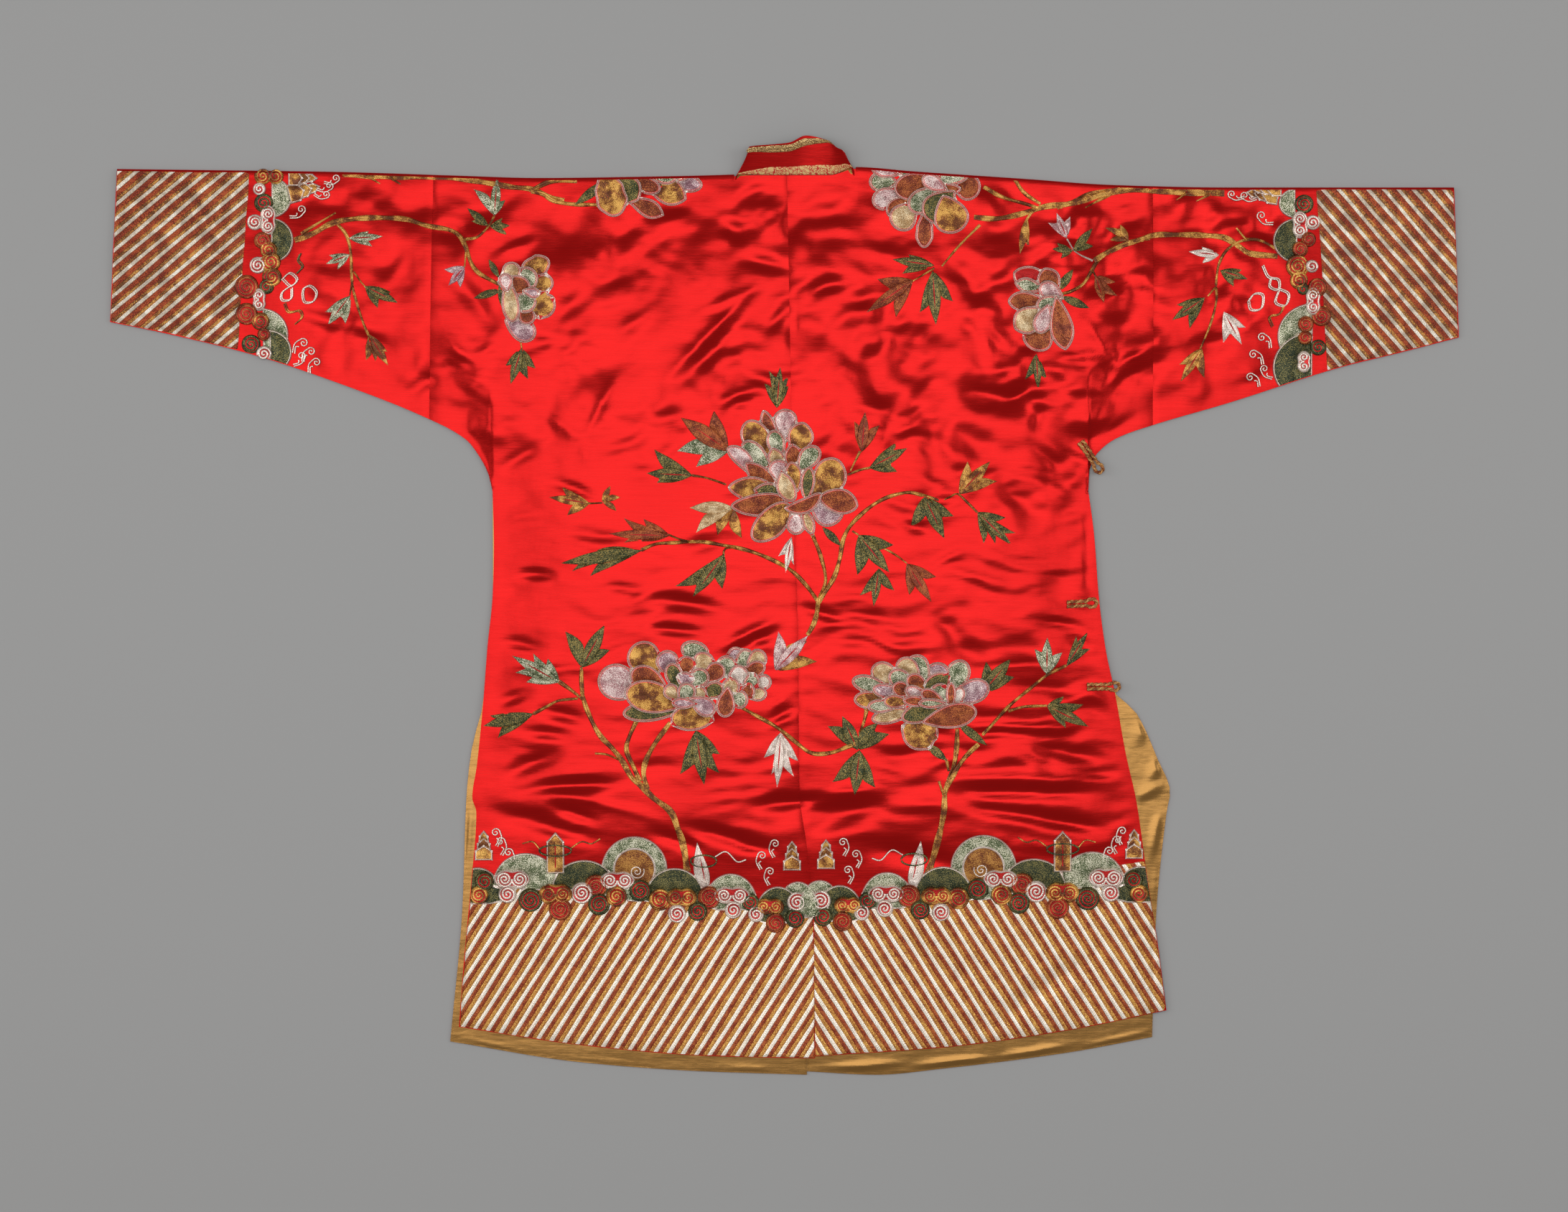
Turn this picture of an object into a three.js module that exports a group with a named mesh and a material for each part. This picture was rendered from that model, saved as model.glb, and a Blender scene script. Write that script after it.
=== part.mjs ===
// A Chinese silk jacket lying face down on a flat surface, its back up: red satin with a standing collar, an
// overlapping front that fastens under the right arm with corded loops, slit sides and a gold lining.
// Millimetres, +X towards the right cuff, +Y towards the collar, +Z up. The surface is Z = 0.
//
// The body is cut as such jackets are: each half is one length of cloth that runs from the back hem over the
// shoulder fold to the front hem, with the upper sleeve in one with it. A second length makes the lower sleeve.
import * as THREE from "three";

// ---- Driving dimensions -------------------------------------------------------------------------------------
const CLOTH = 1.2; // satin with its backing
const LINING = 1.0; // lining satin
const COLLAR_WALL = 1.6; // satin over stiffening
const TRIM = 1.0; // braid and binding
const SEAM = 0.3; // between pieces that are sewn together
const CORD = 3.2; // diameter of the corded loops

const FOLD_RISE = 4.3; // top of the doubled cloth at the shoulder fold
const SLEEVE_SEAM_RISE = 2 * CLOTH + SEAM; // back edge over front edge, along the sleeve's under seam
const LAYERED_RISE = 4.3; // back edge over the front and one more layer
const NECK_RISE = 6.4; // back edge at the neck, where it meets the collar
const BACK_LEVEL = 6; // how high the back lies away from its edges, with air between the layers
const SLEEVE_LEVEL = 5.6;
const EDGE_EASE = 42; // over which the cloth rises from an edge to that level
const SECOND_LAYER = CLOTH + SEAM; // underside of what lies on the front
const LINING_INSET = 1.8; // the satin's turned edge that shows round the lining

const UNDERARM_Y = 115; // where the side seam starts to turn into the sleeve
const UNDERARM_X = 303; // where the overlap's free edge ends, at the right side
const SLIT_Y = { left: -105, right: -88 }; // tops of the side slits
const NECK = { left: -50, right: 72, back: 431.6, drop: 77 }; // neck opening, and its depth in front
const NECK_MIDDLE = (NECK.left + NECK.right) / 2;
const NECK_HALF = (NECK.right - NECK.left) / 2;

// ---- Outlines, as short tables --------------------------------------------------------------------------------
// Top of the garment, where the cloth folds over from back to front.
const shoulderFold = [
  { x: -669, y: 438.5 },
  { x: -448, y: 435.6 },
  { x: -332, y: 432 },
  { x: -246, y: 429.5 },
  { x: -131, y: 431 },
  { x: -50, y: 433 },
  { x: 72, y: 440.5 },
  { x: 128, y: 436.3 },
  { x: 243, y: 428.5 },
  { x: 330, y: 422.5 },
  { x: 445, y: 420 },
  { x: 672, y: 420 },
];
// Centre seams of back and front. The jacket lies a little askew.
const centreBack = [
  { y: 432, x: 3 },
  { y: 199, x: 6.3 },
  { y: -37, x: 14 },
  { y: -188, x: 15.6 },
  { y: -235, x: 22 },
  { y: -311, x: 29.6 },
  { y: -454, x: 31 },
];
const centreFront = [
  { y: 355, x: 11 },
  { y: -470, x: 23 },
];
// Underside of each sleeve, from the underarm to the cuff, at the seam that closes it.
const underSleeve = {
  left: [
    { x: -292.4, y: 115 },
    { x: -296.5, y: 132 },
    { x: -305, y: 149 },
    { x: -319, y: 167 },
    { x: -356, y: 187.5 },
    { x: -448, y: 224 },
    { x: -534, y: 252.5 },
    { x: -620, y: 273.5 },
    { x: -676, y: 285 },
  ],
  right: [
    { x: 305.2, y: 115 },
    { x: 306.6, y: 137 },
    { x: 315, y: 154 },
    { x: 334, y: 168.5 },
    { x: 370, y: 181.5 },
    { x: 445, y: 203.5 },
    { x: 560, y: 240 },
    { x: 617, y: 254 },
    { x: 677, y: 269.5 },
  ],
};
const UPPER_SLEEVE_STEPS = 4; // of the rows above, those up to the sleeve seam
// Outer edges of the back, from the underarm to the hem.
const backSide = {
  left: [
    { y: 115, x: -292.4 },
    { y: 60, x: -291 },
    { y: 11, x: -292.3 },
    { y: -40, x: -297.4 },
    { y: -105, x: -302.4 },
    { y: -160, x: -308 },
    { y: -192, x: -312.6 },
    { y: -207, x: -308.5 },
    { y: -281, x: -314 },
    { y: -350, x: -320.5 },
    { y: -422, x: -326 },
  ],
  right: [
    { y: 115, x: 305.2 },
    { y: 71, x: 311 },
    { y: 6, x: 316 },
    { y: -43, x: 322.5 },
    { y: -88, x: 332 },
    { y: -148, x: 342.7 },
    { y: -196, x: 353.4 },
    { y: -270, x: 364 },
    { y: -344, x: 375.5 },
    { y: -405.4, x: 383.5 },
  ],
};
// Outer edges of the front. Below the slits they lie further out than the back's.
const frontSide = {
  left: [
    { y: 115, x: -292.4 },
    { y: 11, x: -292.3 },
    { y: -105, x: -304 },
    { y: -150, x: -314.5 },
    { y: -196, x: -319 },
    { y: -300, x: -322.6 },
    { y: -437, x: -335 },
  ],
  right: [
    { y: 115, x: 303 },
    { y: 0, x: 313.5 },
    { y: -88, x: 333 },
    { y: -105, x: 352 },
    { y: -153, x: 374.7 },
    { y: -187, x: 387.5 },
    { y: -207, x: 384 },
    { y: -315, x: 373.3 },
    { y: -432.6, x: 369.4 },
  ],
};
// Hems, by the share of the way from the centre seam to the side.
const backHem = {
  left: [
    { out: 0, y: -453.6 },
    { out: 0.3, y: -451 },
    { out: 0.65, y: -440.5 },
    { out: 1, y: -422 },
  ],
  right: [
    { out: 0, y: -451.5 },
    { out: 0.38, y: -442 },
    { out: 0.7, y: -426.5 },
    { out: 1, y: -405.4 },
  ],
};
const frontHem = {
  left: [
    { out: 0, y: -470.4 },
    { out: 0.3, y: -466.8 },
    { out: 0.63, y: -458 },
    { out: 1, y: -437 },
  ],
  right: [
    { out: 0, y: -467 },
    { out: 0.2, y: -470.4 },
    { out: 0.4, y: -464 },
    { out: 0.75, y: -448.5 },
    { out: 1, y: -432.6 },
  ],
};
// Free top edge of the overlap, from the centre front at the neck to the right underarm.
const overlapEdge = [
  { x: 11, y: 354 },
  { x: 90, y: 338 },
  { x: 180, y: 288 },
  { x: 260, y: 205 },
  { x: UNDERARM_X, y: UNDERARM_Y },
];
// Largest folds of the cloth that lies uppermost: the middle of each, its direction in degrees from +X, its
// length and width, and how far it stands above (or, negative, sinks below) the cloth round it.
const folds = [
  // upper back
  { x: 62, y: 262, turn: -38, long: 150, wide: 44, high: -2.6 },
  { x: 158, y: 188, turn: -30, long: 210, wide: 38, high: -2.6 },
  { x: 222, y: 208, turn: -14, long: 120, wide: 32, high: -2 },
  { x: 146, y: 252, turn: 28, long: 120, wide: 44, high: 2.2 },
  { x: 140, y: 284, turn: -20, long: 100, wide: 30, high: -1.6 },
  { x: 190, y: 322, turn: -52, long: 100, wide: 30, high: -1.8 },
  { x: -75, y: 272, turn: 46, long: 170, wide: 26, high: 2.4 },
  { x: -219, y: 376, turn: -35, long: 110, wide: 38, high: -2 },
  { x: -133, y: 335, turn: -68, long: 120, wide: 38, high: -2 },
  { x: -186, y: 240, turn: 18, long: 120, wide: 36, high: -1.8 },
  { x: -190, y: 198, turn: 64, long: 90, wide: 24, high: 1.8 },
  // waist
  { x: -98, y: 3, turn: -9, long: 120, wide: 24, high: -2 },
  { x: -36, y: -28, turn: 26, long: 100, wide: 22, high: 1.8 },
  { x: 239, y: 100, turn: -35, long: 90, wide: 28, high: -1.6 },
  { x: 185, y: -44, turn: -35, long: 90, wide: 28, high: -2 },
  { x: 239, y: -59, turn: 2, long: 140, wide: 20, high: 1.8 },
  // skirt, above the border
  { x: -239, y: -64, turn: 3, long: 130, wide: 18, high: 1.8 },
  { x: -250, y: -155, turn: 20, long: 110, wide: 22, high: -2 },
  { x: -215, y: -184, turn: 5, long: 170, wide: 20, high: -2.4 },
  { x: -220, y: -205, turn: -12, long: 190, wide: 20, high: 2.2 },
  { x: -200, y: -227, turn: -14, long: 190, wide: 20, high: -2.2 },
  { x: -60, y: -228, turn: -15, long: 120, wide: 20, high: -1.8 },
  { x: 5, y: -177, turn: 12, long: 120, wide: 18, high: 2.4 },
  { x: 60, y: -202, turn: 9, long: 190, wide: 20, high: -2.6 },
  { x: 239, y: -120, turn: 0, long: 180, wide: 18, high: 2.2 },
  { x: 262, y: -146, turn: -8, long: 150, wide: 20, high: -2.2 },
  { x: 225, y: -175, turn: 0, long: 260, wide: 18, high: 2.6 },
  { x: 240, y: -203, turn: -7, long: 200, wide: 20, high: -2.4 },
  { x: 120, y: -247, turn: -10, long: 150, wide: 24, high: -2 },
  // sleeves
  { x: -393, y: 344, turn: 15, long: 110, wide: 40, high: -1.8 },
  { x: -305, y: 305, turn: -55, long: 110, wide: 28, high: -1.8 },
  { x: -440, y: 288, turn: -20, long: 100, wide: 26, high: 1.6 },
  { x: 328, y: 253, turn: -51, long: 130, wide: 22, high: 2.2 },
  { x: 352, y: 285, turn: -12, long: 100, wide: 28, high: -1.6 },
  { x: 430, y: 320, turn: -15, long: 120, wide: 28, high: 1.6 },
];

// ---- Reading the tables ---------------------------------------------------------------------------------------
const clamp01 = (t) => Math.min(1, Math.max(0, t));
const mix = (a, b, t) => a + (b - a) * t;
const ease = (t) => clamp01(t) * clamp01(t) * (3 - 2 * clamp01(t));

/** The value of column `to` where column `from` is `at`, on a smooth curve through the table's rows. */
function read(table, from, to, at) {
  const rising = table[0][from] < table[table.length - 1][from];
  const rows = rising ? table : [...table].reverse();
  let k = 0;
  while (k < rows.length - 2 && rows[k + 1][from] < at) k += 1;
  const [a, b] = [rows[k], rows[k + 1]];
  const slope = (p, q) => (q[to] - p[to]) / (q[from] - p[from]);
  const own = slope(a, b);
  const before = k > 0 ? slope(rows[k - 1], a) : own;
  const after = k < rows.length - 2 ? slope(b, rows[k + 2]) : own;
  // Slopes of opposite sign meet in a level point, so the curve never overshoots a row.
  const meet = (p, q) => (p * q <= 0 ? 0 : (2 * p * q) / (p + q));
  const [slopeA, slopeB] = [meet(before, own), meet(own, after)];
  const span = b[from] - a[from];
  const t = clamp01((at - a[from]) / span);
  const [t2, t3] = [t * t, t * t * t];
  return (
    a[to] * (2 * t3 - 3 * t2 + 1) +
    slopeA * span * (t3 - 2 * t2 + t) +
    b[to] * (3 * t2 - 2 * t3) +
    slopeB * span * (t3 - t2)
  );
}

/** Where the back's cloth starts to turn over, its bend's radius short of the garment's top edge. */
const shoulderY = (x) => read(shoulderFold, "x", "y", x) - FOLD_RISE / 2;
const frontNeckY = (x) => {
  const across = clamp01(Math.abs(x - NECK_MIDDLE) / NECK_HALF);
  return NECK.back - NECK.drop * Math.sqrt(1 - across * across);
};

/** How far the large folds lift the cloth at a place. */
function foldLift(x, y) {
  let lift = 0;
  for (const f of folds) {
    const turn = THREE.MathUtils.degToRad(f.turn);
    const [dx, dy] = [x - f.x, y - f.y];
    const along = (dx * Math.cos(turn) + dy * Math.sin(turn)) / (f.long / 2);
    const across = (dy * Math.cos(turn) - dx * Math.sin(turn)) / (f.wide / 2);
    if (Math.abs(along) < 1) lift += f.high * Math.exp(-across * across) * (1 - along * along) ** 2;
  }
  return lift;
}

// ---- Cloth as a wall over a grid ------------------------------------------------------------------------------
/**
 * A closed wall of cloth. `place(i, j, depth)` gives the point of grid line i, j at a depth below the outer face,
 * and `covers(i, j)` says whether the cell from there to i + 1, j + 1 is cloth.
 */
function clothWall(columns, rows, thickness, place, covers = () => true) {
  const points = [];
  const triangles = [];
  const numbers = new Map();
  const point = (i, j, depth) => {
    const key = `${i},${j},${depth}`;
    if (!numbers.has(key)) {
      numbers.set(key, points.length / 3);
      points.push(...place(i, j, depth));
    }
    return numbers.get(key);
  };
  const quad = (a, b, c, d) => triangles.push(a, b, c, a, c, d);
  const cloth = (i, j) => i >= 0 && j >= 0 && i < columns && j < rows && covers(i, j);
  const rim = (i0, j0, i1, j1) => {
    quad(point(i0, j0, thickness), point(i1, j1, thickness), point(i1, j1, 0), point(i0, j0, 0));
  };
  for (let i = 0; i < columns; i += 1)
    for (let j = 0; j < rows; j += 1) {
      if (!cloth(i, j)) continue;
      const corners = [
        [i, j],
        [i + 1, j],
        [i + 1, j + 1],
        [i, j + 1],
      ];
      quad(...corners.map(([p, q]) => point(p, q, 0)));
      quad(...[...corners].reverse().map(([p, q]) => point(p, q, thickness)));
      if (!cloth(i, j - 1)) rim(i, j, i + 1, j);
      if (!cloth(i + 1, j)) rim(i + 1, j, i + 1, j + 1);
      if (!cloth(i, j + 1)) rim(i + 1, j + 1, i, j + 1);
      if (!cloth(i - 1, j)) rim(i, j + 1, i, j);
    }
  const geometry = new THREE.BufferGeometry();
  geometry.setAttribute("position", new THREE.Float32BufferAttribute(points, 3));
  geometry.setIndex(triangles);
  if (signedVolume(points, triangles) < 0) geometry.setIndex([...triangles].reverse());
  geometry.computeVertexNormals();
  return geometry;
}

function signedVolume(points, triangles) {
  const corner = (n) => new THREE.Vector3().fromArray(points, 3 * triangles[n]);
  let six = 0;
  for (let n = 0; n < triangles.length; n += 3) six += corner(n).dot(corner(n + 1).cross(corner(n + 2)));
  return six / 6;
}

// ---- Height of the uppermost cloth ----------------------------------------------------------------------------
/** Height of the outer face: it rises from its edges to its level, and the large folds run over it. */
function topHeight(x, y, edgeRise, level, toEdge) {
  const risen = ease(toEdge / EDGE_EASE);
  const lift = foldLift(x, y) * ease(toEdge / (EDGE_EASE / 2));
  return Math.max(edgeRise, edgeRise + (level - edgeRise) * risen + lift);
}

/** Height of the back's outer face on one half, which stays low where its edges lie on the front's. */
function backHeight(side, x, y) {
  const out = side === "left" ? -1 : 1;
  const toFold = shoulderY(x) - y;
  const inside = out * (read(backSide[side], "y", "x", y) - x);
  const aboveArm = y - read(underSleeve[side], "x", "y", x);
  const toSide = y < UNDERARM_Y ? inside : inside > 0 ? Math.hypot(inside, y - UNDERARM_Y) : aboveArm;
  const sideRise = side === "left" ? SLEEVE_SEAM_RISE : LAYERED_RISE;
  const seamRise = mix(sideRise, SLEEVE_SEAM_RISE, ease((y - UNDERARM_Y) / 40));
  const lowEdge = mix(LAYERED_RISE, seamRise, ease((y - SLIT_Y[side]) / 30));
  const atNeck = ease((80 - toFold) / 50) * ease((NECK_HALF + 25 - Math.abs(x - NECK_MIDDLE)) / 25);
  const topEdge = mix(FOLD_RISE, NECK_RISE, atNeck);
  const edgeRise = mix(lowEdge, topEdge, ease(1 - toFold / 60));
  const level = mix(LAYERED_RISE + 0.6, BACK_LEVEL, ease((y + 460) / 60));
  return topHeight(x, y, edgeRise, level, Math.max(0, Math.min(toFold, toSide)));
}

// ---- Body halves ----------------------------------------------------------------------------------------------
const NECK_COLUMNS = 4;
const BODY_COLUMNS = 13; // from the centre seam to the side
const HALF_COLUMNS = BODY_COLUMNS + UPPER_SLEEVE_STEPS;
const FOLD_ROWS = 4;
const BACK_ARM_ROWS = 13; // from the underarm to the shoulder
const FRONT_ARM_ROWS = 6;
// Shares of the way from the hem to the underarm: few rows across the stiff border, most across the folds.
const backRows = spaced([
  { to: 0.29, rows: 5 },
  { to: 0.4, rows: 3 },
  { to: 0.69, rows: 11 },
  { to: 1, rows: 8 },
]);
const frontRows = spaced([{ to: 1, rows: 8 }]);

function spaced(stretches) {
  const shares = [0];
  for (const { to, rows } of stretches) {
    const from = shares[shares.length - 1];
    for (let k = 1; k <= rows; k += 1) shares.push(mix(from, to, k / rows));
  }
  return shares;
}

/**
 * One half of the body, from the back hem over the shoulder to the front hem, with its upper sleeve.
 * The grid's columns run outwards from the centre seam; its rows run up the back, over the fold and down the front.
 */
function bodyHalf(side, frontRise, frontEnds) {
  const out = side === "left" ? -1 : 1;
  const armhole = underSleeve[side][0];
  const neckX = NECK[side];
  const topOfArmX = out * 296;
  const sleeveSeamTopX = side === "left" ? -351.8 : 370;
  const upToArm = backRows.length - 1;
  const upToFold = upToArm + BACK_ARM_ROWS;
  const downFromFold = upToFold + FOLD_ROWS;
  const downToArm = downFromFold + FRONT_ARM_ROWS;
  const rows = downToArm + frontRows.length - 1;

  // Top of column i, on the shoulder fold or the neck.
  const topX = (i, centre) => {
    if (i <= NECK_COLUMNS) return mix(centre, neckX, Math.sin((Math.PI / 2) * (i / NECK_COLUMNS)));
    if (i <= BODY_COLUMNS) return mix(neckX, topOfArmX, (i - NECK_COLUMNS) / (BODY_COLUMNS - NECK_COLUMNS));
    return mix(topOfArmX, sleeveSeamTopX, (i - BODY_COLUMNS) / UPPER_SLEEVE_STEPS);
  };
  // Bottom of column i at the underarm's level, or on the sleeve's under seam.
  const armPoint = (i, centre) => {
    if (i > BODY_COLUMNS) return underSleeve[side][i - BODY_COLUMNS];
    return { x: mix(centre, armhole.x, i / BODY_COLUMNS), y: UNDERARM_Y };
  };
  const centreGap = (out * SEAM) / 2;

  /** Flat place of grid line i, j on the back or the front, before its height. */
  const flat = (i, j) => {
    const onBack = j <= upToFold + FOLD_ROWS / 2;
    const centre = onBack ? centreBack : centreFront;
    const centreTop = read(centre, "y", "x", onBack ? NECK.back : NECK.back - NECK.drop) + centreGap;
    const centreArm = read(centre, "y", "x", UNDERARM_Y) + centreGap;
    if (j < upToArm || j > downToArm) {
      const share = onBack ? backRows[j] : 1 - frontRows[j - downToArm];
      const edge = (onBack ? backSide : frontSide)[side];
      const hem = (onBack ? backHem : frontHem)[side];
      const outward = i / BODY_COLUMNS;
      const end = onBack ? read(hem, "out", "y", outward) : (frontEnds ?? read(hem, "out", "y", outward));
      const y = mix(end, UNDERARM_Y, share);
      return [mix(read(centre, "y", "x", y) + centreGap, read(edge, "y", "x", y), outward), y];
    }
    const up = onBack
      ? clamp01((j - upToArm) / BACK_ARM_ROWS)
      : clamp01((downToArm - j) / FRONT_ARM_ROWS);
    const low = armPoint(i, centreArm);
    const x = topX(i, centreTop);
    const neckY = onBack ? NECK.back : frontNeckY(x);
    const high = i <= NECK_COLUMNS - 1 ? neckY : shoulderY(x);
    return [mix(low.x, x, up), mix(low.y, high, up)];
  };

  const place = (i, j, depth) => {
    const [x, y] = flat(i, j);
    if (j <= upToFold) {
      const onFold = j === upToFold && i >= NECK_COLUMNS;
      return [x, y, (onFold ? FOLD_RISE : backHeight(side, x, y)) - depth];
    }
    if (j >= downFromFold) return [x, y, frontRise(x, y) + depth];
    const angle = Math.PI * (0.5 - (j - upToFold) / FOLD_ROWS);
    const radius = FOLD_RISE / 2 - depth;
    return [x, y + radius * Math.cos(angle), FOLD_RISE / 2 + radius * Math.sin(angle)];
  };
  const covers = (i, j) => {
    if (j < upToArm || j >= downToArm) return i < BODY_COLUMNS;
    if (j >= upToFold && j < downFromFold) return i >= NECK_COLUMNS;
    return true;
  };
  return clothWall(HALF_COLUMNS, rows, CLOTH, place, covers);
}

const LEFT_FRONT_RISE = () => 0;
/** The right front lies on the overlap, and comes down to the surface beyond its free edge. */
const RIGHT_FRONT_RISE = (x, y) => {
  const within = Math.min(UNDERARM_X, Math.max(overlapEdge[0].x, x));
  const past = y - read(overlapEdge, "x", "y", within) + 0.6 * Math.max(0, x - 290);
  return SECOND_LAYER * ease((75 - past) / 40);
};

// ---- Lower sleeves --------------------------------------------------------------------------------------------
const SLEEVE_COLUMNS = 13;
const SLEEVE_BACK_ROWS = 8;
const SLEEVE_FRONT_ROWS = 4;

/** The lower sleeve, from the sleeve seam to the cuff: cloth folded along its top and closed by its under seam. */
function lowerSleeve(side) {
  const out = side === "left" ? -1 : 1;
  const seam = side === "left" ? { top: -351.8, under: -356 } : { top: 370, under: 370 };
  const cuff = side === "left" ? { top: -669, under: -676 } : { top: 672, under: 677 };
  const rows = SLEEVE_BACK_ROWS + FOLD_ROWS + SLEEVE_FRONT_ROWS;
  const place = (i, j, depth) => {
    const along = i / SLEEVE_COLUMNS;
    const topX = mix(seam.top, cuff.top, along) + (i === 0 ? out * SEAM : 0);
    const lowX = mix(seam.under, cuff.under, along) + (i === 0 ? out * SEAM : 0);
    const [topY, lowY] = [shoulderY(topX), read(underSleeve[side], "x", "y", lowX)];
    const down = j - SLEEVE_BACK_ROWS - FOLD_ROWS;
    const up = j <= SLEEVE_BACK_ROWS ? j / SLEEVE_BACK_ROWS : 1 - Math.max(0, down) / SLEEVE_FRONT_ROWS;
    const [x, y] = [mix(lowX, topX, up), mix(lowY, topY, up)];
    if (j >= SLEEVE_BACK_ROWS + FOLD_ROWS) return [x, y, depth];
    if (j > SLEEVE_BACK_ROWS) {
      const angle = Math.PI * (0.5 - (j - SLEEVE_BACK_ROWS) / FOLD_ROWS);
      const radius = FOLD_RISE / 2 - depth;
      return [x, y + radius * Math.cos(angle), FOLD_RISE / 2 + radius * Math.sin(angle)];
    }
    const edge = mix(SLEEVE_SEAM_RISE, FOLD_RISE, ease((up - 0.5) * 2));
    const level = mix(SLEEVE_LEVEL, LAYERED_RISE + 0.8, ease((along - 0.6) / 0.4));
    return [x, y, topHeight(x, y, edge, level, Math.min(y - lowY, topY - y)) - depth];
  };
  return clothWall(SLEEVE_COLUMNS, rows, CLOTH, place);
}

// ---- Overlap and linings --------------------------------------------------------------------------------------
const PANEL_COLUMNS = 10;

/** The overlap: the front's outermost layer on the right, from the centre front to the right side. */
function overlapPanel() {
  const rows = 14;
  const place = (i, j, depth) => {
    const outward = i / PANEL_COLUMNS;
    const low = read(frontHem.right, "out", "y", outward);
    const high = read(overlapEdge, "x", "y", mix(overlapEdge[0].x, UNDERARM_X, outward));
    const y = mix(low, high, j / rows);
    const inner = read(centreFront, "y", "x", y) + SEAM / 2;
    const outer = y > UNDERARM_Y ? UNDERARM_X : read(frontSide.right, "y", "x", y);
    return [mix(inner, outer, outward), y, depth];
  };
  return clothWall(PANEL_COLUMNS, rows, CLOTH, place);
}

/** The lining of one front skirt, on the satin's inner face from the slit to the hem, a little inside its edge. */
function skirtLining(side) {
  const out = side === "left" ? -1 : 1;
  const rows = 12;
  const top = SLIT_Y[side] - 6;
  const place = (i, j, depth) => {
    const outward = i / PANEL_COLUMNS;
    const low = read(frontHem[side], "out", "y", outward) + LINING_INSET;
    const y = mix(low, top, j / rows);
    const inner = read(centreFront, "y", "x", y) + out * LINING_INSET;
    const outer = read(frontSide[side], "y", "x", y) - out * LINING_INSET;
    return [mix(inner, outer, outward), y, SECOND_LAYER + LINING - depth];
  };
  return clothWall(PANEL_COLUMNS, rows, LINING, place);
}

// ---- Collar and what is sewn on it ----------------------------------------------------------------------------
// Seen from above: how wide and how far up the collar's free edge lies, from its left fold to its right.
const collarEdge = [
  { x: -50, lean: 15, y: 456 },
  { x: -32, lean: 0, y: 459.5 },
  { x: 5, lean: 0, y: 463 },
  { x: 22, lean: 0, y: 470 },
  { x: 42, lean: 0, y: 466 },
  { x: 60, lean: -6, y: 457.5 },
  { x: 72, lean: -10, y: 455 },
];
const COLLAR_HEIGHT = 36; // of the band, in front
const COLLAR_ROWS = 5;
const COLLAR_RUN = 12; // columns along the back, and as many in front
const COLLAR_TURN = 4; // columns round each of its two folds
const COLLAR_GAP = 0.08; // of the front run, open each side of the centre front
const COLLAR_BASE = { middle: 3.9, radius: 3.1 }; // the flattened ring at the neck: height and bend of its folds
const COLLAR_TOP = { middle: 8.2, radius: 7.6 }; // and at its free edge
const FRONT_NECK_EASE = 2.4; // between the collar's foot and the front's neck edge

/** The collar's columns in order, from one front end round the back to the other: place along X and bend. */
const collarColumns = (() => {
  const columns = [];
  const half = COLLAR_RUN / 2;
  for (let k = 0; k <= half; k += 1) columns.push({ along: -mix(COLLAR_GAP, 1, k / half), bend: -90 });
  for (let k = 1; k < COLLAR_TURN; k += 1) columns.push({ along: -1, bend: -90 - (180 * k) / COLLAR_TURN });
  for (let k = 0; k <= COLLAR_RUN; k += 1) columns.push({ along: mix(-1, 1, k / COLLAR_RUN), bend: 90 });
  for (let k = 1; k < COLLAR_TURN; k += 1) columns.push({ along: 1, bend: 90 - (180 * k) / COLLAR_TURN });
  for (let k = half; k >= 0; k -= 1) columns.push({ along: mix(COLLAR_GAP, 1, k / half), bend: -90 });
  return columns;
})();
const COLLAR_BACK_START = COLLAR_RUN / 2 + COLLAR_TURN; // first column of the back run

/** A point of the collar at one of its columns: \`up\` goes from neck to edge, \`out\` stands off its outer face. */
function collarPoint(column, up, out) {
  const { along, bend } = collarColumns[column];
  const [cos, sin] = [Math.cos(THREE.MathUtils.degToRad(bend)), Math.sin(THREE.MathUtils.degToRad(bend))];
  const radius = mix(COLLAR_BASE.radius, COLLAR_TOP.radius, up);
  const middle = mix(COLLAR_BASE.middle, COLLAR_TOP.middle, up);
  const atBack = (1 + sin) / 2;
  const inset = mix(FRONT_NECK_EASE, SEAM, atBack);
  const neckX = NECK_MIDDLE + along * (NECK_HALF - inset - radius) + radius * cos;
  const toSide = ease((Math.abs(neckX - NECK_MIDDLE) / NECK_HALF - 0.55) / 0.45);
  const backBase = mix(NECK.back + SEAM, shoulderY(neckX) + 1.2, toSide);
  const frontBase = frontNeckY(neckX) + FRONT_NECK_EASE;
  const base = mix(frontBase, backBase, atBack);
  const edge = mix(frontNeckY(neckX) + COLLAR_HEIGHT, read(collarEdge, "x", "y", neckX), atBack);
  const lean = up * read(collarEdge, "x", "lean", neckX);
  return [neckX + lean + out * cos, mix(base, edge, up), middle + (radius + out) * sin];
}

/** The same on the collar's flat facets, between two of its rows. */
function collarFace(column, up, out) {
  const row = Math.min(COLLAR_ROWS - 1, Math.floor(up * COLLAR_ROWS));
  const [below, above] = [row, row + 1].map((r) => collarPoint(column, r / COLLAR_ROWS, out));
  return below.map((value, axis) => mix(value, above[axis], up * COLLAR_ROWS - row));
}

function collarBand() {
  const place = (i, j, depth) => collarPoint(i, j / COLLAR_ROWS, -depth);
  return clothWall(collarColumns.length - 1, COLLAR_ROWS, COLLAR_WALL, place);
}

/** A band sewn on the collar's outer face, between two heights of it, along the back. */
function collarTrim(low, high) {
  const place = (i, j, depth) => collarFace(COLLAR_BACK_START + i, mix(low, high, j / 2), SEAM + TRIM - depth);
  return clothWall(COLLAR_RUN, 2, TRIM, place);
}

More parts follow.
